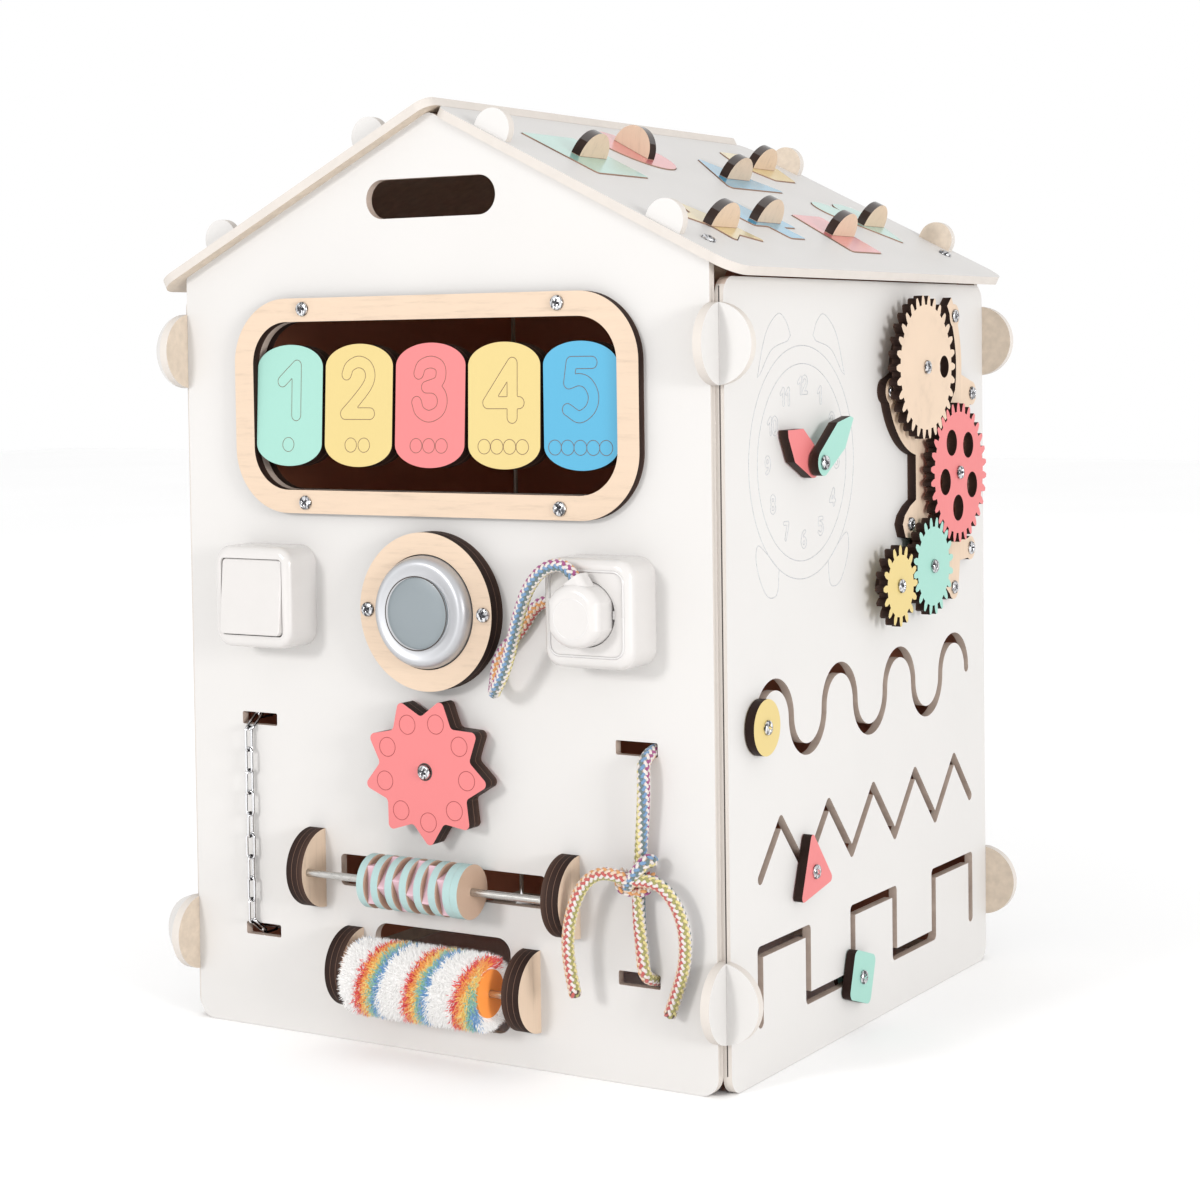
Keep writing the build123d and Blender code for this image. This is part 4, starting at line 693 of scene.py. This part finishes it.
side_colours = dict(gear_carrier=BIRCH, gear_coral=CORAL, gear_mint=MINT, gear_yellow=YELLOW, hour_hand=CORAL,
                    minute_hand=MINT, slider_round=YELLOW, slider_triangle=CORAL, slider_square=MINT)
for node, colour in side_colours.items():
    dress(node, RIGHT, colour)
for index, colour in enumerate((MINT, YELLOW, CORAL, YELLOW, BLUE)):
    dress(f"card_{index + 1}", FWD, colour, plies=2)
SORTER_PLY = 0.0071
above_roof = Vector(UP).dot(Vector((0, 0, RIDGE))) + SORTER_PLY
sorter_colours = dict(square=MINT, circle=CORAL, triangle=BLUE, hexagon=YELLOW,
                      star=YELLOW, cross=BLUE, parallelogram=CORAL, heart=MINT)
for shape, colour in sorter_colours.items():
    across = BACK if shape == "circle" else DOWN_SLOPE
    layers = (above_roof - SORTER_PLY, above_roof)
    paint(f"sorter_{shape}", board(f"sorter_{shape}_board", UP, colour, BROWN, lin(150, 122, 106), layers,
                                   knob=(UP, above_roof, across), gloss=1.0))
# The discs' flat faces are a darker birch: painted shade on faces that lie between the stacked discs.
shaded_disc_birch = seen(214, 182, 158)
paint("spinner_round_discs", board("disc_board", RIGHT, shaded_disc_birch, edge=DISC))
paint("spinner_square_discs", board("square_board", RIGHT, shaded_disc_birch, edge=PINK))
# Chrome with painted reflections, for the nuts and washers.
chrome = sparkle("bright_chrome", 650, 124, 232)
rod_metal = metal("drawn_rod", lin(190, 188, 184), 0.24, (1, 8, 8))
for node in ("card_axle", "spinner_rod", "roller_rod"):
    paint(node, rod_metal)
for node in ("panel_screws", "pivot_bolts", "nuts_and_washers"):
    paint(node, chrome)
paint("chain", wire("chain_wire"))
gloss = plastic("gloss_white", seen(238, 234, 231), 0.2, 0.35)
for node in ("switch_base", "switch_rocker", "socket_body", "socket_plug"):
    paint(node, gloss)
paint("push_light_base", plastic("grey_shell", lin(186, 187, 190), 0.35))
paint("push_light_dome", plastic("silver_lacquer", lin(186, 187, 190), 0.36, 0.1, 0.75))
paint("push_light_lens", plastic("frosted_lens", seen(150, 160, 165), 0.3, 0.2))
paint("push_light_cells", metal("cell_jackets", lin(120, 130, 145), 0.35))
paint("roller_core", plastic("orange_cap", lin(244, 150, 70), 0.35))
paint("roller_fleece", plastic("fleece_base", lin(240, 240, 238), 0.9))
for node in ("pull_rope", "tie_rope_left", "tie_rope_right", "rope_knots", "socket_rope"):
    paint(node, plastic(node + "_fibre", lin(225, 215, 210), 0.8))


# ---- engraved lines
def smooth_line(points, count=7):
    """Catmull-Rom line through the points."""
    p = [np.array(q, float) for q in points]
    p = [2 * p[0] - p[1]] + p + [2 * p[-1] - p[-2]]
    out = []
    for a, b, c, d in zip(p, p[1:], p[2:], p[3:]):
        for k in range(count):
            t = k / count
            bent = (2 * a - 5 * b + 4 * c - d) * t**2 + (3 * b - a - 3 * c + d) * t**3
            out.append(tuple(0.5 * (2 * b + (c - a) * t + bent)))
    return out + [tuple(p[-2])]


def around(strokes, radius, step=0.4):
    """Closed outlines round a set of round-ended strokes, from a grid of distances."""
    every = np.array([p for stroke in strokes for p in stroke], float)
    low, high = every.min(0) - radius - 2 * step, every.max(0) + radius + 2 * step
    xs, ys = np.arange(low[0], high[0], step), np.arange(low[1], high[1], step)
    gx, gy = np.meshgrid(xs, ys)
    far = np.full(gx.shape, 1e9)
    for stroke in strokes:
        for a, b in zip(stroke, stroke[1:]):
            dx, dy = b[0] - a[0], b[1] - a[1]
            t = np.clip(((gx - a[0]) * dx + (gy - a[1]) * dy) / max(dx * dx + dy * dy, 1e-9), 0, 1)
            far = np.minimum(far, np.hypot(gx - a[0] - t * dx, gy - a[1] - t * dy))
    f = far - radius
    places, links = {}, {}

    def cross(i, j, k, l):
        if (f[i, j] > 0) == (f[k, l] > 0):
            return None
        key = (i, j, k, l)
        t = f[i, j] / (f[i, j] - f[k, l])
        places[key] = (gx[i, j] + t * (gx[k, l] - gx[i, j]), gy[i, j] + t * (gy[k, l] - gy[i, j]))
        return key

    for i in range(f.shape[0] - 1):
        for j in range(f.shape[1] - 1):
            cell = [cross(i, j, i, j + 1), cross(i, j, i + 1, j),
                    cross(i + 1, j, i + 1, j + 1), cross(i, j + 1, i + 1, j + 1)]
            hits = [c for c in cell if c]
            for a, b in zip(hits[::2], hits[1::2]):
                links.setdefault(a, []).append(b)
                links.setdefault(b, []).append(a)
    loops = []
    while links:
        start = min(links)
        loop, here = [start], start
        while True:
            nexts = [q for q in links.pop(here, []) if q in links]
            if not nexts:
                break
            here = nexts[0]
            loop.append(here)
        loops.append([places[q] for q in loop[::2]])
    return [loop for loop in loops if len(loop) > 5]


# Strokes of each numeral, in millimetres round its middle.
DIGITS = {
    "0": [smooth_line([(0, 17), (-8, 12), (-9.5, 0), (-8, -12), (0, -17), (8, -12), (9.5, 0), (8, 12),
                       (0, 17)])],
    "1": [[(-6.2, 6.1), (5.6, 16.3), (5.6, -16.4)]],
    "2": [smooth_line([(-10, 10.4), (-7.5, 15.5), (-0.5, 18.4), (6.5, 15.8), (9.2, 9.5), (6.6, 2.5),
                       (-2, -7), (-10.8, -15.4)]),
          [(-10.8, -15.4), (9.2, -15.4)]],
    "3": [smooth_line([(-9.1, 10.6), (-6.8, 15.6), (0, 17.8), (6.6, 15.6), (8.4, 10.5), (6, 4.8), (-3, 1.7)]),
          smooth_line([(-3, 1.7), (3.5, 1.2), (8.2, -2.4), (9.6, -8.2), (6.8, -14), (-0.8, -17),
                       (-7.8, -14), (-10.5, -8)])],
    "4": [[(6.2, -17.4), (6.2, 16.6), (-12.2, -8.2), (11.4, -8.2)]],
    "5": [[(8.5, 16.8), (-6.4, 16.8), (-8.4, 4.2)],
          smooth_line([(-8.4, 4.2), (-1, 6.2), (5.6, 3.6), (9.4, -4), (7, -12), (-1, -16.8), (-9.6, -12.4)])],
    "6": [smooth_line([(6, 15), (-2, 12), (-8, 2), (-9, -8), (-3, -16), (5, -15.5), (9, -8), (5, -0.5),
                       (-2, -0.5), (-8, -6)])],
    "7": [[(-9, 16.5), (9, 16.5), (-3, -17)]],
    "8": [smooth_line([(0, 17), (-7, 13), (-6, 5), (0, 1), (7, -4), (8, -12), (0, -17), (-8, -12), (-7, -4),
                       (0, 1), (6, 5), (7, 13), (0, 17)])],
    "9": [smooth_line([(8, 6), (2, 0.5), (-5, 0.5), (-9, 8), (-5, 15.5), (3, 16), (9, 8), (8, -2), (2, -12),
                       (-6, -15)])],
}


def circle_loop(x, y, r, count=40):
    angles = [2 * math.pi * k / count for k in range(count)]
    return [(x + r * math.cos(a), y + r * math.sin(a)) for a in angles]


def engraved(name, colour):
    """Charred bottom of an engraved line."""
    t = Tree(name)
    char = t.noise(700, detail=3)
    return t.done(t.ramp(char, (0.3, shade(colour, 0.7)), (0.7, colour)), 0.85, t.bump(char, 0.3, 0.0002))


card_line = engraved("card_engraving", lin(120, 92, 76))
wall_line = engraved("wall_engraving", lin(196, 197, 200))
star_line = engraved("star_engraving", lin(150, 62, 60))
CARD_PITCH, CARD_HIGH, CARD_FACE = 0.0568, 0.422, -0.0065
CARD_TILTS = (3.0, 3.0, 3.0, 1.5, 0.0)
DOT_PITCHES = (0, 10.6, 9.9, 9.6, 9.3)


def engrave_card(index):
    """Outlined number and counting dots on one card's face."""
    number = index + 1
    loops = [[(x, z + 10) for x, z in loop] for loop in around(DIGITS[str(number)], 3.8)]
    for k in range(number):
        loops.append(circle_loop((k - index / 2) * DOT_PITCHES[index] - 0.6, -26.0, 4.7, 32))
    turn = Matrix.Rotation(math.radians(-CARD_TILTS[index]), 3, "X")
    middle = Vector(((index - 2) * CARD_PITCH, FRONT + 0.003, CARD_HIGH))
    placed = [[turn @ Vector((x * MM, CARD_FACE, z * MM)) + middle for x, z in loop] for loop in loops]
    line_piece(f"card_{number}_engraving", placed, 0.00021, card_line, f"card_{number}")


for index in range(len(CARD_TILTS)):
    engrave_card(index)

STAR_HIGH, RING_FROM_BORE, RING_R = 0.1873, 32.5, 6.2
star_loops = []
for k in range(9):
    a = math.radians(-86 + 40 * k)
    ring = circle_loop(RING_FROM_BORE * math.cos(a), RING_FROM_BORE * math.sin(a), RING_R)
    star_loops.append([(x * MM, FRONT - 0.016, STAR_HIGH + z * MM) for x, z in ring])
line_piece("star_engraving", star_loops, 0.0002, star_line, "star")


def clock_loops():
    """Alarm clock drawn on the right wall: case, dial, numerals, bells and feet."""
    cy, cz, case_r, dial_r, hours_r = 111.0, 383.0, 74.5, 63, 49
    loops = [circle_loop(cy, cz, case_r, 120), circle_loop(cy, cz, dial_r, 110)]
    for hour in range(1, 13):
        a = math.radians(90 - 30 * hour)
        text = str(hour)
        for k, mark in enumerate(text):
            x = cy + hours_r * math.cos(a) + (k - (len(text) - 1) / 2) * 7.2
            z = cz + hours_r * math.sin(a)
            strokes = [[(p[0] * 0.3, p[1] * 0.3) for p in stroke] for stroke in DIGITS[mark]]
            loops += [[(x + q[0], z + q[1]) for q in loop] for loop in around(strokes, 1.15, 0.3)]
    for side in (-1, 1):
        bell = smooth_line([(62, 55), (50, 82), (33, 94.5), (22, 90), (16, 81)], 10)
        bell += smooth_line([(20, 77.5), (42, 72), (58, 57)], 8)
        loops.append([(cy + side * x, cz + z) for x, z in bell])
        foot = smooth_line([(50, -55.5), (63, -49), (66, -58), (60, -72), (50, -82), (38, -81), (35, -66)], 8)
        loops.append([(cy + side * x, cz + z) for x, z in foot])
    return [[(SIDE, FRONT + y * MM, z * MM) for y, z in loop] for loop in loops]


line_piece("clock_engraving", clock_loops(), 0.00028, wall_line, "house")


# ---- screw and bolt heads
def parts_of(node):
    """Vertices of each loose part of a CAD node."""
    mesh = nodes[node].data
    parent = list(range(len(mesh.vertices)))

    def root(i):
        while parent[i] != i:
            parent[i] = parent[parent[i]]
            i = parent[i]
        return i

    for a, b in (e.vertices for e in mesh.edges):
        parent[root(a)] = root(b)
    co = np.array([v.co for v in mesh.vertices])
    where = np.round(co * 1e6).astype(int)
    met = {}
    for i, key in enumerate(map(tuple, where)):
        if key in met:
            parent[root(i)] = root(met[key])
        met[key] = i
    groups = {}
    for i in range(len(co)):
        groups.setdefault(root(i), []).append(i)
    return [co[g] for g in sorted(groups.values())]


# Ways that a head can face; its radius, rings and cross recess in millimetres.
HEAD_AXES = (FWD, BACK, RIGHT, UP, LEFT_UP)
HEAD_R = 4.8
HEAD_RINGS = (0.001, 0.35, 0.62, 0.66, 1.1, 1.6, 2.1, 2.5, 2.56, 3.1, 3.7, 4.2, 4.55, HEAD_R)
CROSS_HALF, CROSS_REACH = 0.64, 2.53


def head_height(x, y, head_h):
    """Height of the head's top above its foot, in millimetres."""
    r = math.hypot(x, y)
    if r < 4.3:
        h = head_h * (1 - 0.3 * (r / HEAD_R) ** 2)
    else:
        h = head_h * (0.7 - 0.35 * ((r - 4.2) / 0.6) ** 2)
    if min(abs(x), abs(y)) < CROSS_HALF and max(abs(x), abs(y)) < CROSS_REACH:
        h -= 1.5 - 0.3 * r
    return h


def head_mesh(place, axis, shank_r, length, head_h, turn):
    """Domed head with a cross recess, and its shank below."""
    axis, place = Vector(axis), Vector(place)
    side = axis.orthogonal().normalized()
    third = axis.cross(side)
    c, s = math.cos(turn), math.sin(turn)
    side, third = side * c + third * s, third * c - side * s
    count = 48
    round_it = [(math.cos(2 * math.pi * j / count), math.sin(2 * math.pi * j / count)) for j in range(count)]
    verts, in_recess = [], []
    for r in HEAD_RINGS:
        for c, s in round_it:
            h = head_height(r * c, r * s, head_h * 1000) * MM
            verts.append(place + axis * h + side * r * c * MM + third * r * s * MM)
            in_recess.append(h < head_h * 0.62 and r < 2.6)
    faces = grid_faces(len(HEAD_RINGS), count)
    # Faces inside the recess take the second, dark material: painted shade.
    index = [1 if sum(in_recess[v] for v in f) >= 2 else 0 for f in faces]
    shank = shank_r * 1000
    for h, r in ((0.0, HEAD_R), (0.0, shank), (-length, shank), (-length - 0.0002, 0.3)):
        verts += [place + axis * h + side * r * c * MM + third * r * s * MM for c, s in round_it]
    more = grid_faces(5, count, (len(HEAD_RINGS) - 1) * count)
    return verts, faces + more, index + [0] * len(more)


def recessed(node, piece, mats):
    """Heads with a cross recess and their shanks, in the places of a node's fasteners."""
    verts, faces, index = [], [], []
    for k, co in enumerate(parts_of(node)):
        best = None
        for axis in HEAD_AXES:
            a = np.array(axis)
            along = co @ a
            off = co - np.outer(along, a)
            centre = (off.min(0) + off.max(0)) / 2
            reach = np.linalg.norm(off - centre, axis=1)
            wide, top = reach.max(), reach[along > along.max() - 0.003].max()
            if wide < 0.0055 and top > 0.004 and (best is None or wide < best[0]):
                best = (wide, axis, centre, along)
        if best is None:
            print("no head found on a part of", node)
            continue
        _, axis, centre, along = best
        off = np.linalg.norm(co - np.outer(along, axis) - centre, axis=1)
        foot = along[off > 0.0045].min()
        shank_r = off[along < foot - 0.001].max()
        place = centre + np.array(axis) * foot
        more, skin, which = head_mesh(place, axis, shank_r, foot - along.min(), along.max() - foot, 0.7 * k)
        join(verts, faces, more, skin)
        index += which
    o = mesh_piece(piece, verts, faces, mats, "house", index)
    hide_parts(node)


# Head chrome with painted reflections: dark and bright streaks in its colour.
head_steel = sparkle("head_steel", 620, 84, 222)
# Dark grey metal for the faces inside the cross recess: painted shade in the recess.
painted_recess_shade = metal("painted_recess_shade", lin(70, 70, 74), 0.4)
head_mats = [head_steel, painted_recess_shade]
recessed("panel_screws", "screw_heads", head_mats)
recessed("pivot_bolts", "bolt_heads", head_mats)
# Heads over the domes of the three sliders.
SLIDER_HEAD_H, HEAD_SINK = 0.0026, 0.0021
for k, shape in enumerate(("round", "triangle", "square")):
    co = np.array([v.co for v in nodes["slider_" + shape].data.vertices])
    top = co[co[:, 0] > co[:, 0].max() - 0.0012]
    middle = (top.min(0) + top.max(0)) / 2
    place = (co[:, 0].max() - HEAD_SINK, middle[1], middle[2])
    verts, faces, index = head_mesh(place, RIGHT, 0.002, 0.001, SLIDER_HEAD_H, 0.5 + k)
    mesh_piece(f"slider_{shape}_head", verts, faces, head_mats, shape + "_slider", index)


# ---- fleece roller
FLEECE_Y, FLEECE_Z, FLEECE_HALF, FLEECE_R, CAP_R = FRONT - 0.0195, 0.0505, 0.049, 0.0208, 0.0153
BAND_PITCH, BAND_START, BAND_SHARE = 0.0375, 0.777, 0.47
TUFTS, END_TUFTS = 15000, 3000
TUFT_FOOT, TUFT_WAIST = 0.00042, 0.00034
TUFT_FACES = []
for j, k in ((0, 1), (1, 2), (2, 0)):
    TUFT_FACES += [(j, k, 3 + k, 3 + j), (3 + j, 3 + k, 6)]
TUFT_TONES = dict(
    tuft_white=seen(255, 253, 251), tuft_red=seen(232, 76, 78), tuft_orange=seen(250, 168, 88),
    tuft_yellow=seen(252, 216, 128), tuft_green=seen(150, 200, 180), tuft_blue=seen(118, 166, 214),
)


def tuft_material(name, tone):
    t = Tree(name)
    fuzz = t.noise(900, detail=2)
    # The tufts also glow faintly in their own colour: painted light that brightens the pile.
    return t.done(t.ramp(fuzz, (0.2, shade(tone, 0.93)), (0.7, tone)), 0.95, None,
                  Sheen_Weight=0.8, Sheen_Roughness=0.4, Emission_Color=tone, Emission_Strength=0.42)


def band(x, a):
    """Which tuft colour grows at this place: spiral bands of five colours between white ones."""
    turn = (x / BAND_PITCH - a / (2 * math.pi) + BAND_START) % 1.0
    if turn > BAND_SHARE:
        return 0
    return 1 + int(turn / BAND_SHARE * 5)


def fleece_point(x, a, r):
    return (x, FLEECE_Y + r * math.sin(a), FLEECE_Z + r * math.cos(a))


def fleece_sleeve(rng):
    """Slightly uneven sleeve that the tufts grow from, with its two end faces."""
    rows, cols = 50, 72
    angles = [2 * math.pi * j / cols for j in range(cols)]
    verts, index = [], []
    for i in range(rows):
        x = -FLEECE_HALF + 2 * FLEECE_HALF * i / (rows - 1)
        for a in angles:
            r = FLEECE_R + 0.0006 * math.sin(9 * a + 80 * x * 9) + 0.0004 * rng.standard_normal()
            verts.append(fleece_point(x, a, r))
    faces = grid_faces(rows, cols)
    for i in range(rows - 1):
        x = -FLEECE_HALF + 2 * FLEECE_HALF * (i + 0.5) / (rows - 1)
        index += [band(x, 2 * math.pi * (j + 0.5) / cols) for j in range(cols)]
    for ring, x in ((0, -FLEECE_HALF), ((rows - 1) * cols, FLEECE_HALF)):
        first = len(verts)
        verts += [fleece_point(x, a, CAP_R) for a in angles]
        for j in range(cols):
            k = (j + 1) % cols
            faces.append((ring + j, ring + k, first + k, first + j))
        index += [0] * cols
    return verts, faces, index


def fleece_tuft(rng, on_end):
    """One tapering three-sided tuft, and which colour it has."""
    x = math.copysign(FLEECE_HALF, rng.uniform(-1, 1)) if on_end else rng.uniform(-FLEECE_HALF, FLEECE_HALF)
    a = rng.uniform(0, 2 * math.pi)
    r = rng.uniform(0.0160, FLEECE_R) if on_end else FLEECE_R
    which = band(x + rng.normal(0, 0.0011), a)
    out = np.array((rng.normal(0, 0.45), math.sin(a), math.cos(a)))
    out += np.array((0, math.cos(a), -math.sin(a))) * rng.normal(0, 0.45)
    if on_end:
        out[0] += math.copysign(0.9, x)
    elif abs(x) > FLEECE_HALF - 0.005:
        out[0] += math.copysign(0.6, x)
    out /= np.linalg.norm(out)
    root = np.array(fleece_point(x, a, r))
    reach = rng.uniform(0.0034, 0.0062)
    side = np.cross(out, (0.3, 0.5, 0.8))
    side /= np.linalg.norm(side)
    third = np.cross(out, side)
    bend = side * rng.normal(0, 0.0007) + third * rng.normal(0, 0.0007)
    corners = [side * math.cos(b) + third * math.sin(b) for b in (0, 2 * math.pi / 3, 4 * math.pi / 3)]
    waist = root + out * reach * 0.6 + bend * 0.4
    verts = [root + c * TUFT_FOOT for c in corners] + [waist + c * TUFT_WAIST for c in corners]
    return verts + [root + out * reach + bend], which


def make_fleece():
    rng = np.random.default_rng(7)
    mats = [tuft_material(name, tone) for name, tone in TUFT_TONES.items()]
    verts, faces, index = fleece_sleeve(rng)
    for k in range(TUFTS + END_TUFTS):
        tuft, which = fleece_tuft(rng, k >= TUFTS)
        join(verts, faces, tuft, TUFT_FACES)
        index += [which] * len(TUFT_FACES)
    o = mesh_piece("fleece_pile", verts, faces, mats, "roller", index)
    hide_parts("roller_fleece")


make_fleece()


# ---- small trim
def ridge(name, centre, radius, tube, mat, body):
    """Low round ridge on a face that looks forwards."""
    verts, faces, around_n, tube_n = [], [], 72, 10
    for i in range(around_n):
        a = 2 * math.pi * i / around_n
        for j in range(tube_n):
            b = 2 * math.pi * j / tube_n
            r = radius + tube * math.cos(b)
            offset = (r * math.cos(a), -0.5 * tube * math.sin(b), r * math.sin(a))
            verts.append([c + d for c, d in zip(centre, offset)])
    for i in range(around_n):
        for j in range(tube_n):
            k, l = (i + 1) % around_n, (j + 1) % tube_n
            faces.append((i * tube_n + j, i * tube_n + l, k * tube_n + l, k * tube_n + j))
    mesh_piece(name, verts, faces, [mat], body)


def square_ridge(name, centre, half, corner, tube, mat, body):
    """Low ridge that runs round a rounded square on a face that looks forwards."""
    path = []
    for k in range(4):
        a0 = math.pi / 2 * k
        sx, sz = math.cos(a0 + math.pi / 4), math.sin(a0 + math.pi / 4)
        cx = centre[0] + math.copysign(half - corner, sx)
        cz = centre[2] + math.copysign(half - corner, sz)
        for j in range(9):
            a = a0 + math.pi / 2 * j / 8
            path.append((cx + corner * math.cos(a), centre[1], cz + corner * math.sin(a)))
    line_piece(name, [path], tube, mat, body)


def soft_box(name, low, high, round_, mat, body):
    """Box with rounded edges, from a bevelled bmesh."""
    bm = bmesh.new()
    bmesh.ops.create_cube(bm, size=1)
    for v in bm.verts:
        v.co = [low[k] + (v.co[k] + 0.5) * (high[k] - low[k]) for k in range(3)]
    bmesh.ops.bevel(bm, geom=bm.edges[:], offset=round_, segments=3, affect="EDGES")
    mesh = bpy.data.meshes.new(name)
    bm.to_mesh(mesh)
    bm.free()
    mesh.materials.append(mat)
    add_piece(name, mesh, body)


trim_white = plastic("trim_white", seen(240, 237, 235), 0.25, 0.3)
# Dark grey for strips and rings that stand for the shade in gaps between parts: painted shade.
painted_gap_shade = plastic("painted_gap_shade", lin(58, 50, 46), 0.6)
PLUG_Z, LENS_Z, SOCKET_Z = 0.2945, 0.290, 0.296
CLIP_HALF = 0.0027
ridge("plug_ridge", (SOCKET_X, FRONT - 0.0479, PLUG_Z), 0.0122, 0.0004, trim_white, "plug")
# Dark rings round the lens and round the star's bore: painted shade in the gap and under the bolt.
ridge("lens_joint_shadow", (0.0, FRONT - 0.0232, LENS_Z), 0.0237, 0.0004, painted_gap_shade, "push_light")
ridge("star_bore_shadow", (0.0, FRONT - 0.0160, STAR_HIGH), 0.0053, 0.0005, painted_gap_shade, "star")
# Dark line down the seam of the front and right walls: painted shadow in the gap.
seam = [(SIDE - 0.0001, FRONT + 0.0008, z) for z in (0.014, 0.25, 0.494)]
line_piece("corner_joint_shadow", [seam], 0.0005, painted_gap_shade, "house", cyclic=False)
square_ridge("socket_step", (SOCKET_X, FRONT - 0.0300, SOCKET_Z), 0.0262, 0.007, 0.0009,
             trim_white, "house")
for side, name in ((-1, "socket_clip_left"), (1, "socket_clip_right")):
    a, b = sorted((SOCKET_X + side * 0.0187, SOCKET_X + side * 0.0206))
    low, high = (a, FRONT - 0.0302, SOCKET_Z - CLIP_HALF), (b, FRONT - 0.0215, SOCKET_Z + CLIP_HALF)
    soft_box(name, low, high, 0.0005, trim_white, "house")


# ---- studio
# Each lamp's place, width and power; all look at LAMP_AIM.
LAMPS = {"key_light": ((-1.5, -5.2, 1.9), 1.0, 118), "side_light": ((4.8, -1.8, 1.0), 1.2, 124)}
LAMP_AIM = (0, 0, 0.3)
FLOOR_HALF, FLOOR_Z = 8.0, -0.0002


def make_floor():
    bm = bmesh.new()
    bmesh.ops.create_grid(bm, x_segments=1, y_segments=1, size=FLOOR_HALF)
    mesh = bpy.data.meshes.new("floor")
    bm.to_mesh(mesh)
    bm.free()
    floor = in_scene("floor", mesh)
    floor.location = (0, 0, FLOOR_Z)
    t = Tree("pale_floor")
    tone = t.ramp(t.noise(0.8), (0.3, lin(250, 250, 250)), (0.7, lin(253, 253, 253)))
    mesh.materials.append(t.done(tone, 0.7))


def make_light():
    world = bpy.data.worlds.new("studio")
    bpy.context.scene.world = world
    world.use_nodes = True
    world.node_tree.nodes["Background"].inputs[0].default_value = (1, 1, 1, 1)
    world.node_tree.nodes["Background"].inputs[1].default_value = 1.0
    for name, (place, width, power) in LAMPS.items():
        data = bpy.data.lights.new(name, "AREA")
        data.shape, data.size, data.energy = "SQUARE", width, power
        o = in_scene(name, data)
        o.location = place
        o.rotation_mode = "QUATERNION"
        o.rotation_quaternion = (Vector(LAMP_AIM) - Vector(place)).to_track_quat("-Z", "Y")
    bpy.context.scene.view_settings.view_transform = "Standard"
    bpy.context.scene.view_settings.look = "None"


make_floor()
make_light()
